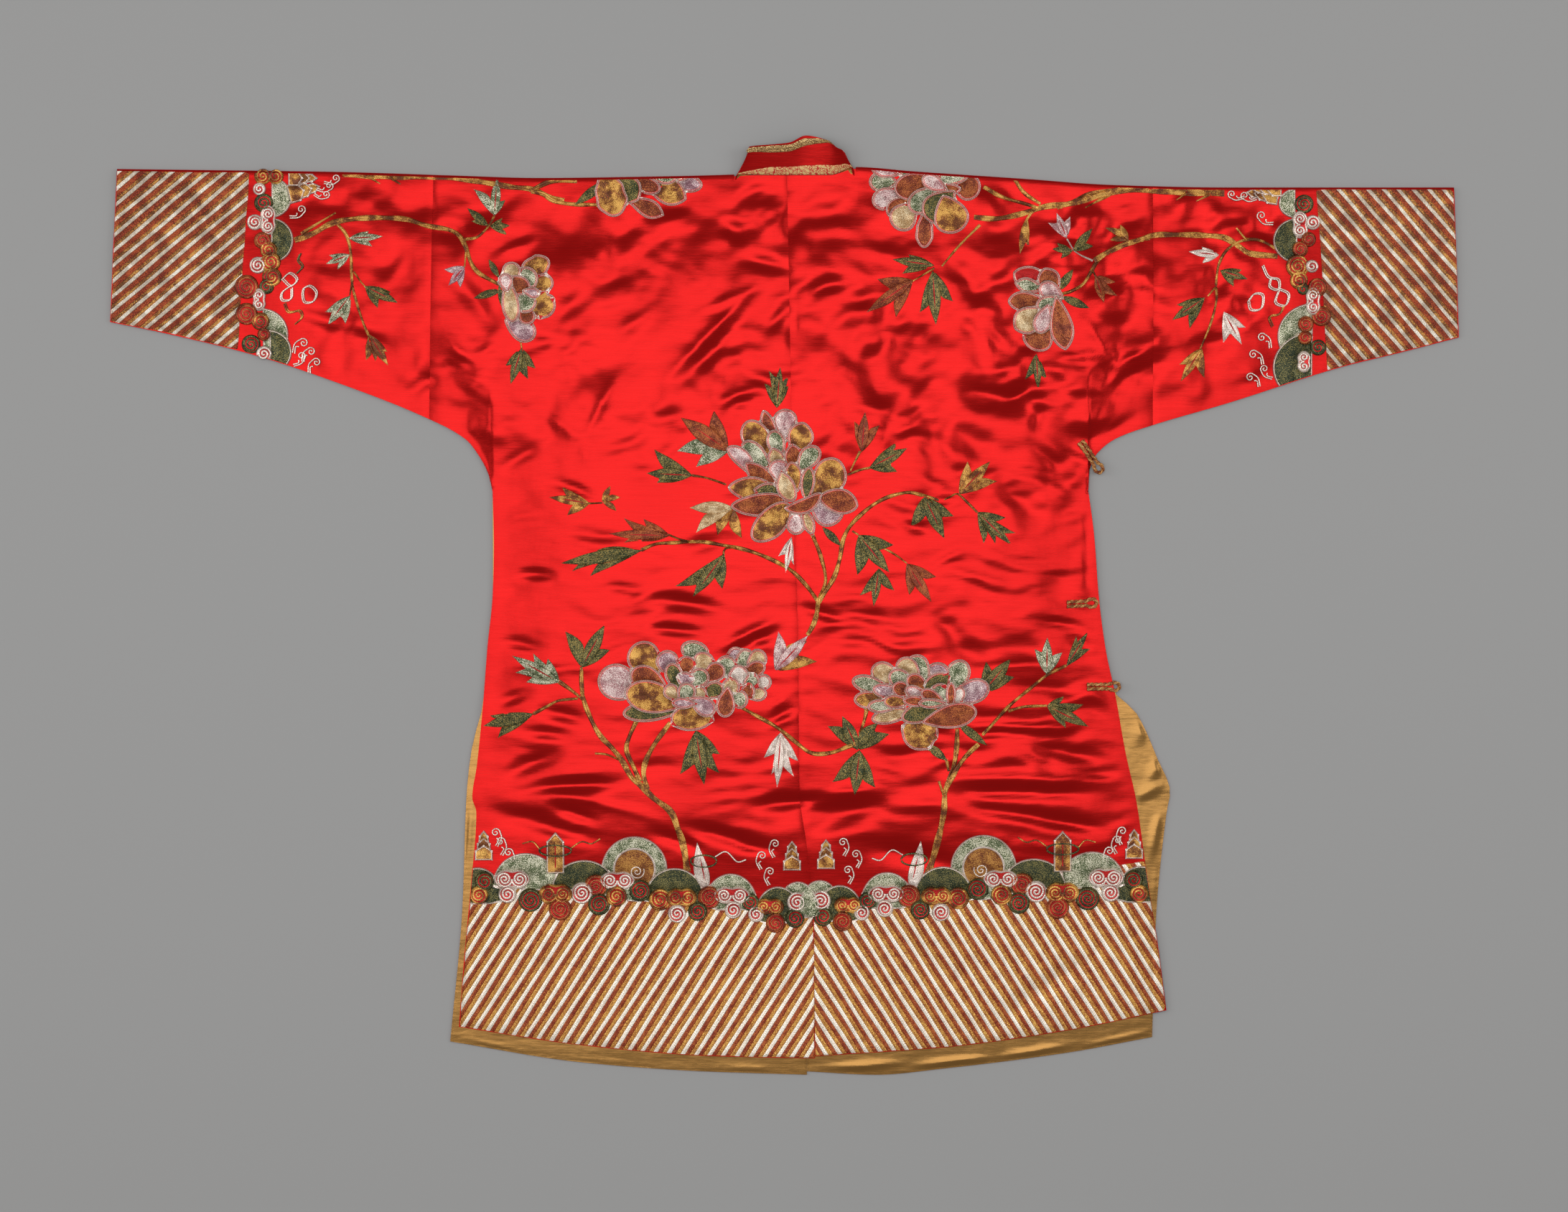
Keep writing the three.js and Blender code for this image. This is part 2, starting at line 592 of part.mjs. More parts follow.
// ---- Corded loops -------------------------------------------------------------------------------------------
const EYE = { long: 12, wide: 9.6 }; // outside, round which a knot button goes
// Where each loop is sewn on, where its eye's tip lies, and how high the tip's underside stands.
const loops = [
  { name: "loop_underarm", from: [297.5, 164.5], tip: [319, 132.5], tipRise: 4.6 },
  { name: "loop_waist", from: [284, 1.7], tip: [315.5, 3.4], tipRise: 4.9 },
  { name: "loop_hip", from: [304, -80.8], tip: [338.2, -80.6], tipRise: 4.9 },
];
const LOOP_CLEAR = 1.6; // between a cord and the cloth under it, which bulges a little between its rows

/** A doubled cord, its two ends sewn down side by side, opening into an eye at its tip. */
function cordedLoop({ from, tip, tipRise }) {
  const start = new THREE.Vector2(...from);
  const run = new THREE.Vector2(...tip).sub(start);
  const length = run.length();
  const along = run.clone().normalize();
  const across = new THREE.Vector2(-along.y, along.x);
  const close = (CORD + 0.25) / 2; // half the distance between the two cords
  const eyeHalf = (EYE.wide - CORD) / 2;
  const eyeLong = (EYE.long - CORD) / 2;
  const eyeAt = length - CORD / 2 - eyeLong;
  const route = [
    { s: 0, a: close },
    { s: (eyeAt - eyeLong) * 0.5, a: close },
    { s: eyeAt - eyeLong, a: close + 0.1 },
    { s: eyeAt - eyeLong * 0.45, a: eyeHalf * 0.9 },
    { s: eyeAt + eyeLong * 0.3, a: eyeHalf },
    { s: eyeAt + eyeLong * 0.82, a: eyeHalf * 0.6 },
    { s: eyeAt + eyeLong, a: 0 },
  ];
  const there = route.map(({ s, a }) => [s, a]);
  const back = route.slice(0, -1).reverse().map(({ s, a }) => [s, -a]);
  const points = [...there, ...back].map(([s, a]) => {
    const p = start.clone().addScaledVector(along, s).addScaledVector(across, a);
    const onCloth = backHeight("right", p.x, p.y) + LOOP_CLEAR;
    return new THREE.Vector3(p.x, p.y, Math.max(onCloth, tipRise) + CORD / 2);
  });
  const section = new THREE.Shape();
  section.absarc(0, 0, CORD / 2, 0, 2 * Math.PI);
  return new THREE.ExtrudeGeometry(section, {
    curveSegments: 4,
    steps: 28,
    bevelEnabled: false,
    extrudePath: new THREE.CatmullRomCurve3(points, false, "centripetal"),
  });
}

// ---- The jacket ---------------------------------------------------------------------------------------------
const satin = new THREE.MeshStandardMaterial({ color: 0xd4121a, roughness: 0.38, metalness: 0.15 });
const goldSatin = new THREE.MeshStandardMaterial({ color: 0xc9a25c, roughness: 0.35, metalness: 0.25 });
const brocade = new THREE.MeshStandardMaterial({ color: 0xb79a55, roughness: 0.5, metalness: 0.4 });
const braidGold = new THREE.MeshStandardMaterial({ color: 0xc2a25e, roughness: 0.5, metalness: 0.45 });
const cordGold = new THREE.MeshStandardMaterial({ color: 0xb08442, roughness: 0.55, metalness: 0.4 });

const jacket = new THREE.Group();
function sew(name, geometry, material) {
  const piece = new THREE.Mesh(geometry, material);
  piece.name = name;
  jacket.add(piece);
}

sew("body_left", bodyHalf("left", LEFT_FRONT_RISE), satin);
sew("body_right", bodyHalf("right", RIGHT_FRONT_RISE, SLIT_Y.right + 8), satin);
sew("front_overlap", overlapPanel(), satin);
sew("sleeve_left", lowerSleeve("left"), satin);
sew("sleeve_right", lowerSleeve("right"), satin);
sew("lining_left", skirtLining("left"), goldSatin);
sew("lining_right", skirtLining("right"), goldSatin);
sew("collar", collarBand(), satin);
sew("neck_binding", collarTrim(0.02, 0.3), brocade);
sew("collar_braid", collarTrim(0.78, 0.92), braidGold);
for (const loop of loops) sew(loop.name, cordedLoop(loop), cordGold);

export default jacket;
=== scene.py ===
# %% [markdown]
# # A Chinese silk jacket, laid face down
#
# Red satin with couched metal-thread embroidery lies flat, its back up. The cloth is modelled as thin shells
# over a height map: the outline gives the rise from edge to middle, and a short table of folds gives the
# creases. Everything sewn on the cloth follows the same height map.
#
# Lengths in the tables are millimetres; +X points to the right cuff, +Y to the collar and +Z up.

# %% Setup
import math

import bpy
import numpy as np
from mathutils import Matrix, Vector
from mathutils.geometry import delaunay_2d_cdt


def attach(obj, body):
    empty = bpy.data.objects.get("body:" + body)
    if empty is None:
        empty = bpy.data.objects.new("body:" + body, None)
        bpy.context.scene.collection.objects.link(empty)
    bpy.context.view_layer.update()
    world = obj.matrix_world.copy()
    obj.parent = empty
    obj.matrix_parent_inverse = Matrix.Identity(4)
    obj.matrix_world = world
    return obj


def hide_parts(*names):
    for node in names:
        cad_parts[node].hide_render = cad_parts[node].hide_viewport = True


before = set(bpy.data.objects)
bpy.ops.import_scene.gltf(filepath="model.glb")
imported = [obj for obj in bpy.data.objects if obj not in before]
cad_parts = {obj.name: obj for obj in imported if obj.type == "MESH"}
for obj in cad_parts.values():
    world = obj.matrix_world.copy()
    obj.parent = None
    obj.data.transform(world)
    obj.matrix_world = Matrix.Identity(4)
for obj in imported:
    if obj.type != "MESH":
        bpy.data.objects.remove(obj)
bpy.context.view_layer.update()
MM = 0.001
rng = np.random.default_rng(7)

# %% [markdown]
# ## Camera, light and floor
#
# The camera looks straight down from 3.2 m. Its frame is 1.572 m wide, so the jacket fills it as on a
# catalogue page. A wide soft box hangs over the top of the jacket and two weaker ones stand at its sides.

# %% Camera and light
CAMERA_HEIGHT = 3.2
FRAME_WIDTH = 1.572  # at half the jacket's thickness
JACKET_MIDDLE = 0.005
SENSOR = 36.0


def look_down():
    data = bpy.data.cameras.new("camera")
    data.sensor_width = SENSOR
    data.lens = SENSOR * (CAMERA_HEIGHT - JACKET_MIDDLE) / FRAME_WIDTH
    camera = bpy.data.objects.new("camera", data)
    camera.location = (0, 0, CAMERA_HEIGHT)
    bpy.context.collection.objects.link(camera)
    bpy.context.scene.camera = camera


def soft_box(name, place, aim, size, power):
    data = bpy.data.lights.new(name, "AREA")
    data.shape = "RECTANGLE"
    data.size, data.size_y = size
    data.energy = power
    lamp = bpy.data.objects.new(name, data)
    lamp.location = place
    lamp.rotation_euler = (Vector(aim) - Vector(place)).to_track_quat("-Z", "Y").to_euler()
    bpy.context.collection.objects.link(lamp)


look_down()
soft_box("light_over", (-0.1, 0.30, 3.4), (-0.05, 0.05, 0), (2.9, 1.7), 52)
soft_box("light_left", (-2.4, 0.5, 1.9), (-0.1, 0, 0), (1.0, 1.6), 14)
soft_box("light_right", (2.4, 0.5, 1.9), (0.1, 0, 0), (1.0, 1.6), 14)

world = bpy.data.worlds.new("studio")
bpy.context.scene.world = world
world.use_nodes = True
sky = world.node_tree.nodes["Background"].inputs
sky["Color"].default_value = (1, 0.98, 0.95, 1)
sky["Strength"].default_value = 0.31
bpy.context.scene.view_settings.view_transform = "Standard"
print("camera", bpy.context.scene.camera.location[:])

# %% [markdown]
# ## Outlines
#
# Each outline is a short table, read on a smooth curve that never overshoots its rows.

# %% Tables
CLOTH, LINING = 1.2, 1.0  # thickness of the satin with its backing, and of the lining
SEAM, SEAM_GAP = 0.3, 0.04
FOLD_RISE = 4.3  # top of the doubled cloth at the shoulder fold
SLEEVE_SEAM_RISE = 2 * CLOTH + SEAM  # back edge over front edge
LAYERED_RISE = 4.3  # back edge over the front and one more layer
NECK_RISE = 6.4
SECOND_LAYER = CLOTH + SEAM
LINING_INSET = 1.8
UNDERARM_Y = 115
UNDERARM_X = 303
SLIT_Y = {"left": -105, "right": -88}
OUT = {"left": -1, "right": 1}
NECK_LEFT, NECK_RIGHT, NECK_BACK, NECK_DROP = -50, 72, 431.6, 77
NECK_MIDDLE = (NECK_LEFT + NECK_RIGHT) / 2
NECK_HALF = (NECK_RIGHT - NECK_LEFT) / 2

# x, y
shoulder_fold = [(-669, 438.5), (-448, 435.6), (-332, 432), (-246, 429.5), (-131, 431), (-50, 433), (72, 440.5),
                 (128, 436.3), (243, 428.5), (330, 422.5), (445, 420), (672, 420)]
# y, x
centre_back = [(432, 3), (199, 6.3), (-37, 14), (-188, 15.6), (-235, 22), (-311, 29.6), (-454, 31)]
centre_front = [(355, 11), (-470, 23)]
# x, y
under_sleeve = {
    "left": [(-292.4, 115), (-296.5, 132), (-305, 149), (-319, 167), (-356, 187.5), (-448, 224), (-534, 252.5),
             (-620, 273.5), (-676, 285)],
    "right": [(305.2, 115), (306.6, 137), (315, 154), (334, 168.5), (370, 181.5), (445, 203.5), (560, 240),
              (617, 254), (677, 269.5)],
}
UPPER_SLEEVE_STEPS = 4
# y, x
back_side = {
    "left": [(115, -292.4), (60, -291), (11, -292.3), (-40, -297.4), (-105, -302.4), (-160, -308), (-192, -312.6),
             (-207, -308.5), (-281, -314), (-350, -320.5), (-422, -326)],
    "right": [(115, 305.2), (71, 311), (6, 316), (-43, 322.5), (-88, 332), (-148, 342.7), (-196, 353.4),
              (-270, 364), (-344, 375.5), (-405.4, 383.5)],
}
front_side = {
    "left": [(115, -292.4), (11, -292.1), (-60, -299), (-100, -302.1), (-112, -305.5), (-150, -314.5), (-196, -319),
             (-300, -322.6), (-437, -335)],
    "right": [(115, 303), (0, 313.5), (-88, 333), (-105, 352), (-153, 374.7), (-187, 387.5), (-207, 384),
              (-315, 373.3), (-432.6, 369.4)],
}
# share of the way from the centre seam to the side, y
back_hem = {
    "left": [(0, -453.6), (0.3, -451), (0.65, -440.5), (1, -422)],
    "right": [(0, -451.5), (0.38, -442), (0.7, -426.5), (1, -405.4)],
}
front_hem = {
    "left": [(0, -470.4), (0.3, -466.8), (0.63, -458), (1, -437)],
    "right": [(0, -467), (0.2, -470.4), (0.4, -464), (0.75, -448.5), (1, -432.6)],
}
# x, y
overlap_edge = [(11, 354), (90, 338), (180, 288), (260, 205), (UNDERARM_X, UNDERARM_Y)]


def read(table, at):
    """The table's second column where its first is `at`, for numbers or arrays."""
    rows = np.array(sorted(table), float)
    xs, ys = rows[:, 0], rows[:, 1]
    slope = np.diff(ys) / np.diff(xs)
    p, q = slope[:-1], slope[1:]
    middle = np.where(p * q <= 0, 0, 2 * p * q / np.where(p + q == 0, 1, p + q))
    knots = np.concatenate([slope[:1], middle, slope[-1:]])
    at = np.asarray(at, float)
    k = np.clip(np.searchsorted(xs, at) - 1, 0, len(xs) - 2)
    span = xs[k + 1] - xs[k]
    t = np.clip((at - xs[k]) / span, 0, 1)
    return (ys[k] * (2 * t**3 - 3 * t**2 + 1) + knots[k] * span * (t**3 - 2 * t**2 + t)
            + ys[k + 1] * (3 * t**2 - 2 * t**3) + knots[k + 1] * span * (t**3 - t**2))


def ease(t):
    t = np.clip(t, 0, 1)
    return t * t * (3 - 2 * t)


def mix(a, b, t):
    return a + (b - a) * t


def shoulder_y(x):
    return read(shoulder_fold, x) - FOLD_RISE / 2


def at_neck_side(x):
    """0 along the middle of the neck, 1 at its ends."""
    return ease((np.abs(x - NECK_MIDDLE) / NECK_HALF - 0.55) / 0.45)


def back_neck_y(x):
    return mix(NECK_BACK, shoulder_y(x), at_neck_side(x))


def front_neck_y(x):
    across = np.clip(np.abs(x - NECK_MIDDLE) / NECK_HALF, 0, 1)
    return NECK_BACK - NECK_DROP * np.sqrt(1 - across**2)


# %% [markdown]
# ## The lie of the cloth
#
# The back rises from its edges to a level and the creases run over it. Each crease is a ridge (high > 0) or a
# trough: the middle of it, its direction in degrees from +X, its length and width, its height, and how sharp its
# crest is. Long soft ones come first, then the shorter and crisper ones that lie across them.

# %% Creases
BACK_LEVEL = 10.0
SLEEVE_LEVEL = 8.6
EDGE_EASE = 105
CREASE_EASE = 20  # how far inside the edge the creases have their full height
CREASE_BEND, CREASE_SCALE = 0.35, 1.12
CREST = 4.25  # the cloth never sinks under this, where another layer lies below it
SLEEVE_CREST = 3.2

# x, y, turn, long, wide, high, sharp
creases = [
    # upper back, left
    (-75, 272, 46, 165, 12, 2.6, 1), (-66, 262, 46, 150, 14, -2.0, 0), (-58, 306, 23, 95, 9, 1.5, 1),
    (-184, 199, 64, 90, 10, 2.0, 1), (-221, 180, -37, 60, 9, 1.3, 1), (-199, 153, -80, 40, 9, 1.1, 1),
    (-219, 376, -35, 100, 35, -3.0, 0), (-133, 335, -68, 115, 35, -3.0, 0), (-167, 353, 85, 70, 22, -2.5, 0),
    (-187, 239, 17, 100, 32, -2.5, 0), (-211, 301, 30, 60, 18, -2.0, 0), (-18, 343, -15, 70, 14, -3.0, 0),
    (-53, 378, -25, 55, 16, -2.5, 0), (-35, 413, 35, 50, 12, -2.0, 0), (-45, 212, 20, 50, 8, 1.5, 1),
    (-42, 204, 20, 50, 9, -1.5, 0), (-115, 190, 8, 55, 14, -2.0, 0), (-5, 289, 50, 50, 10, -2.0, 0),
    (-242, 262, 10, 70, 14, -1.4, 0), (-252, 334, -40, 70, 20, -1.6, 0), (-104, 398, -12, 80, 16, -1.6, 0),
    (-150, 284, 35, 60, 12, 1.2, 0), (-264, 150, 30, 60, 12, -1.4, 0),
    # upper back, right
    (45, 278, -28, 100, 40, -4.0, 0), (85, 240, -50, 100, 38, -4.0, 0), (130, 204, -35, 120, 36, -4.0, 0),
    (190, 165, -25, 120, 30, -3.5, 0), (222, 207, -14, 120, 30, -3.5, 0), (140, 280, -20, 90, 28, -2.5, 0),
    (39, 390, 10, 90, 22, -2.5, 0), (45, 369, 0, 80, 18, -2.0, 0), (46, 321, 5, 70, 16, -2.5, 0),
    (76, 304, -5, 60, 14, -2.0, 0), (146, 252, 28, 110, 40, 2.5, 0), (188, 323, -52, 80, 24, -2.5, 0),
    (349, 279, -10, 70, 24, -2.5, 0), (250, 262, 10, 70, 18, -1.6, 0), (222, 372, -10, 80, 20, -1.6, 0),
    (104, 352, -22, 70, 14, 1.4, 0), (60, 150, -30, 80, 18, -1.4, 0), (262, 150, -38, 60, 12, -1.6, 0),
    # waist, left
    (-248, 32, -3, 50, 9, -2.0, 0), (-211, 118, -20, 60, 10, -2.0, 0), (-99, 3, -9, 100, 14, -3.0, 0),
    (-109, -24, -6, 80, 10, -2.5, 0), (-36, -28, 26, 85, 10, 2.2, 1), (-32, -37, 26, 80, 10, -1.9, 0),
    (-162, 18, -5, 50, 9, -1.5, 0), (-239, -64, 3, 120, 8, 1.6, 1), (-262, -38, -12, 60, 10, -1.6, 0),
    (-277, -94, 20, 70, 11, -2.0, 0), (-221, -109, -15, 70, 12, -2.0, 0), (32, -5, -20, 45, 9, -1.5, 0),
    (50, -12, -20, 45, 9, -1.5, 0), (-236, -128, -8, 70, 11, -1.4, 0), (-150, -80, 8, 90, 14, -1.2, 0),
    (-75, 60, 12, 80, 16, -1.1, 0), (-190, 72, -10, 60, 12, -1.2, 0),
    # waist, right
    (130, 80, -15, 40, 9, -1.8, 0), (239, 105, -35, 70, 22, -2.5, 0), (165, 48, 25, 50, 9, 1.5, 1),
    (281, 25, 10, 60, 20, -2.0, 0), (274, -17, -5, 70, 9, -2.0, 0), (296, -36, -30, 36, 8, -1.5, 0),
    (185, -46, -35, 70, 25, -3.0, 0), (165, -22, -40, 50, 16, -2.0, 0), (234, -41, -10, 80, 20, -2.5, 0),
    (239, -59, 2, 120, 10, 2.1, 1), (262, -82, -6, 90, 12, -1.8, 0), (130, -92, -12, 80, 12, -1.2, 0),
    # skirt, above the border
    (-250, -157, 20, 80, 16, -3.0, 0), (-216, -180, 5, 130, 12, -3.0, 0), (-237, -220, -15, 150, 16, -3.0, 0),
    (-211, -207, -20, 70, 10, -2.0, 0), (-107, -235, -20, 80, 12, -2.5, 0), (-61, -230, -15, 100, 14, -3.0, 0),
    (-27, -242, -10, 60, 10, -2.0, 0), (-4, -196, 12, 70, 14, -3.5, 0), (22, -194, 15, 90, 12, -3.0, 0),
    (-190, -196, -14, 180, 13, 2.0, 1), (-190, -168, 3, 120, 12, 1.6, 1), (-2, -116, 20, 40, 7, 1.5, 1),
    (-2, -108, 30, 40, 7, -1.5, 0), (-4, -96, 35, 34, 6, 1.3, 1), (-130, -160, 2, 90, 14, -1.4, 0),
    (239, -121, 0, 140, 9, 2.3, 1), (239, -130, 0, 130, 10, -2.2, 0), (289, -148, -10, 90, 14, -3.0, 0),
    (239, -173, 0, 210, 11, 2.6, 1), (239, -186, 0, 190, 13, -3.0, 0), (53, -203, 5, 140, 18, -3.5, 0),
    (53, -187, 5, 130, 12, 2.5, 1), (54, -214, 20, 110, 20, -3.0, 0), (126, -249, -10, 130, 20, -3.0, 0),
    (235, -208, -8, 170, 14, -3.0, 0), (283, -218, -8, 100, 12, -2.5, 0), (150, -200, -4, 130, 14, 1.8, 0),
    (316, -168, 6, 60, 10, -1.8, 0), (120, -150, 4, 90, 14, -1.4, 0),
    # border, where the embroidery keeps the cloth stiff
    (-61, -368, 40, 70, 16, -1.2, 0), (-4, -391, 40, 90, 16, -1.3, 0), (260, -384, 35, 150, 14, -1.5, 0),
    (150, -360, -42, 120, 18, -1.0, 0), (-220, -350, 52, 120, 18, -0.9, 0), (60, -330, -30, 70, 14, -0.9, 0),
    # left sleeve
    (-393, 344, 15, 80, 40, -2.5, 0), (-372, 397, 10, 60, 16, -2.0, 0), (-462, 287, -20, 70, 13, -1.8, 0),
    (-410, 264, -20, 60, 14, -1.8, 0), (-333, 374, -20, 70, 18, -2.0, 0), (-311, 307, -55, 90, 20, -2.5, 0),
    (-270, 359, 22, 65, 9, 1.6, 1), (-440, 400, -6, 90, 16, -1.4, 0), (-350, 230, 30, 60, 12, -1.3, 0),
    (-500, 350, -70, 60, 18, -1.3, 0),
    # right sleeve
    (328, 253, -51, 120, 10, 2.3, 1), (338, 244, -51, 100, 10, -1.6, 0), (351, 250, 18, 40, 9, 1.6, 1),
    (293, 219, -3, 75, 8, 1.3, 1), (296, 250, 4, 90, 8, 1.6, 1), (307, 190, 70, 45, 12, 1.5, 0),
    (255, 190, 75, 45, 12, -1.5, 0), (440, 330, -15, 100, 26, -1.8, 0), (420, 262, 12, 80, 14, -1.6, 0),
    (486, 372, -30, 60, 14, -1.4, 0), (400, 380, 8, 90, 16, -1.5, 0), (470, 285, 40, 50, 12, 1.2, 1),
]


def along_across(x, y, cx, cy, turn, long, wide):
    """Places counted from a crease's middle, along it and across it, in halves of its length and width."""
    c, s = math.cos(math.radians(turn)), math.sin(math.radians(turn))
    return ((x - cx) * c + (y - cy) * s) / (long / 2), ((y - cy) * c - (x - cx) * s) / (wide / 2)


def crease_lift(x, y):
    lift = np.zeros(np.broadcast(x, y).shape)
    for *place, high, sharp in creases:
        along, across = along_across(x, y, *place)
        across = across + CREASE_BEND * along**2
        profile = np.exp(-np.abs(across) ** (1.3 if sharp else 2.0))
        lift += np.where(np.abs(along) < 1, high * profile * (1 - np.minimum(along**2, 1)) ** 2, 0)
    return CREASE_SCALE * lift


lattice = rng.permutation(256)
lattice_turn = rng.uniform(0, 2 * np.pi, 256)


def drift(x, y):
    """Smooth noise from about -1 to 1, on a lattice of one unit."""
    xi, yi = np.floor(x).astype(int), np.floor(y).astype(int)
    fx, fy = x - xi, y - yi

    def corner(i, j):
        turn = lattice_turn[lattice[(lattice[(xi + i) & 255] + yi + j) & 255]]
        return np.cos(turn) * (fx - i) + np.sin(turn) * (fy - j)

    u, v = fx**3 * (fx * (6 * fx - 15) + 10), fy**3 * (fy * (6 * fy - 15) + 10)
    return 1.5 * mix(mix(corner(0, 0), corner(1, 0), u), mix(corner(0, 1), corner(1, 1), u), v)


def crumple(x, y):
    """The small dents between the creases: lengthways at the waist, in all directions above, few in the border."""
    wx, wy = x + 14 * drift(x / 70, y / 70), y + 14 * drift(x / 70 + 31, y / 70 + 17)
    flat = drift(wx / 62, wy / 17 + 5) + 0.45 * drift(wx / 26 + 9, wy / 9)
    c, s = math.cos(0.6), math.sin(0.6)
    loose = (0.9 * drift((wx * c + wy * s) / 44, (wy * c - wx * s) / 26) + drift(wx / 38 + 3, wy / 38)
             + 0.4 * drift(wx / 15, wy / 13 + 7))
    upper = ease((y - 60) / 140)
    patchy = 0.35 + 0.65 * ease(0.5 + 1.6 * drift(x / 95 + 50, y / 80))
    stiff = 0.14 + 0.86 * ease((y + 265) / 40) * ease((520 - np.abs(x)) / 50)
    calm = mix(0.52, 0.9, ease((x + 120) / 240))
    return calm * stiff * patchy * mix(1.9 * flat, 3.3 * loose, upper)


SEAM_DEEP, SEAM_WIDE = 0.8, 2.4
SIDE_SEAM = (304, 14, 98)  # x, and y of its ends
HEM_TURN = 4  # from an edge to where the creases begin


def groove(distance):
    return -SEAM_DEEP * np.exp(-((distance / SEAM_WIDE) ** 2))


def smooth_min(a, b, width):
    h = np.clip(0.5 + 0.5 * (b - a) / width, 0, 1)
    return mix(b, a, h) - width * h * (1 - h)


def over(height, least):
    """At least `least`, with a soft turn."""
    return -smooth_min(-height, -np.broadcast_to(least, np.shape(height)).astype(float), 0.8)


def lie(x, y, edge, level, least, to_edge):
    """Height of cloth that rises from its edge to a level, with the creases over it."""
    rise = mix(edge, level, ease(to_edge / EDGE_EASE) ** 0.8)
    lift = (crease_lift(x, y) + crumple(x, y)) * ease(to_edge / CREASE_EASE)
    inside = ease(to_edge / HEM_TURN)
    return over(rise + lift, least) * inside + edge * (1 - inside)


SLEEVE_SEAM = {"left": (-351.8, -356), "right": (370, 370)}  # x at the fold and at the under seam
CUFF = {"left": (-669, -676), "right": (672, 677)}


def seam_x(side, y, ends):
    """x of a slanting line from the shoulder fold to the under seam, at height y."""
    top, low = ends
    top_y, low_y = shoulder_y(np.float64(top)), read(under_sleeve[side], np.float64(low))
    return mix(low, top, np.clip((y - low_y) / (top_y - low_y), 0, 1))


def back_height(side, x, y):
    """Height of the back's outer face on one half, and of the upper sleeve that is cut in one with it."""
    x, y = np.asarray(x, float), np.asarray(y, float)
    to_fold = shoulder_y(x) - y
    inside = OUT[side] * (read(back_side[side], y) - x)
    above_arm = y - read(under_sleeve[side], x)
    to_side = np.where(y < UNDERARM_Y, inside,
                       np.where(inside > 0, np.hypot(inside, y - UNDERARM_Y), above_arm))
    side_rise = SLEEVE_SEAM_RISE if side == "left" else LAYERED_RISE
    seam_rise = mix(side_rise, SLEEVE_SEAM_RISE, ease((y - UNDERARM_Y) / 40))
    low_edge = mix(LAYERED_RISE, seam_rise, ease((y - SLIT_Y[side]) / 30))
    at_neck = ease((80 - to_fold) / 50) * ease((NECK_HALF + 4 - np.abs(x - NECK_MIDDLE)) / 30)
    top_edge = mix(FOLD_RISE, NECK_RISE, at_neck)
    edge = mix(low_edge, top_edge, ease(1 - to_fold / 60))
    level = mix(LAYERED_RISE + 1.0, BACK_LEVEL, ease((y + 300) / 90))
    level = mix(level, SLEEVE_LEVEL, ease((OUT[side] * x - 300) / 60))
    to_edge = np.maximum(0, smooth_min(to_fold, to_side, 24))
    seams = groove(x - read(centre_back, y)) + groove(x - seam_x(side, y, SLEEVE_SEAM[side]))
    if side == "right":  # the side seam shows where the front's turning peeps past it
        seams = seams + 0.8 * groove(x - SIDE_SEAM[0]) * ease((SIDE_SEAM[2] - y) / 12) * ease((y - SIDE_SEAM[1]) / 12)
    return lie(x, y, edge, level, np.minimum(edge, CREST), to_edge) + seams


def sleeve_height(side, x, y, along):
    low, top = read(under_sleeve[side], x), shoulder_y(x)
    up = (y - low) / (top - low)
    edge = mix(SLEEVE_SEAM_RISE, FOLD_RISE, ease((up - 0.5) * 2))
    level = mix(SLEEVE_LEVEL, LAYERED_RISE + 0.9, ease((along - 0.45) / 0.25))
    to_edge = np.maximum(0, smooth_min(y - low, top - y, 24))
    seam = groove(x - seam_x(side, y, SLEEVE_SEAM[side]))
    return lie(x, y, edge, level, np.minimum(edge, SLEEVE_CREST), to_edge) + seam


def surface(x, y):
    """Height of the jacket's uppermost cloth anywhere on it."""
    x, y = np.asarray(x, float), np.asarray(y, float)
    z = np.where(x < read(centre_back, y), back_height("left", x, y), back_height("right", x, y))
    for side in ("left", "right"):
        start, end = seam_x(side, y, SLEEVE_SEAM[side]), seam_x(side, y, CUFF[side])
        along = np.clip((x - start) / (end - start), 0, 1)
        on_sleeve = (OUT[side] * (x - start) > 0) & (y > UNDERARM_Y + 20)
        z = np.where(on_sleeve, sleeve_height(side, x, y, along), z)
    return z


# %% [markdown]
# ## Cloth walls
#
# A piece of cloth is a grid of points with a thickness: an outer face, an inner face in the lining, and a rim.

# %% Walls
def new_piece(name, points, faces, materials, kinds):
    """A mesh object from points in millimetres, riding on the jacket."""
    mesh = bpy.data.meshes.new(name)
    mesh.from_pydata((np.asarray(points, float) * MM).tolist(), [], [list(map(int, f)) for f in faces])
    piece = bpy.data.objects.new(name, mesh)
    bpy.context.collection.objects.link(piece)
    for material in materials:
        mesh.materials.append(material)
    mesh.polygons.foreach_set("material_index", np.asarray(kinds, np.int32))
    mesh.polygons.foreach_set("use_smooth", np.ones(len(mesh.polygons), bool))
    mesh.update()
    mesh.set_sharp_from_angle(angle=math.radians(55))
    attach(piece, "root")
    return piece


def lay_thread(mesh, marks, by_point=False):
    """A UV map of how far each corner lies along and across its row of thread, from marks by corner or by point."""
    if by_point:
        corners = np.empty(len(mesh.loops), np.int32)
        mesh.loops.foreach_get("vertex_index", corners)
        marks = marks[corners]
    mesh.uv_layers.new(name="thread").data.foreach_set("uv", np.ascontiguousarray(marks, np.float32).ravel())


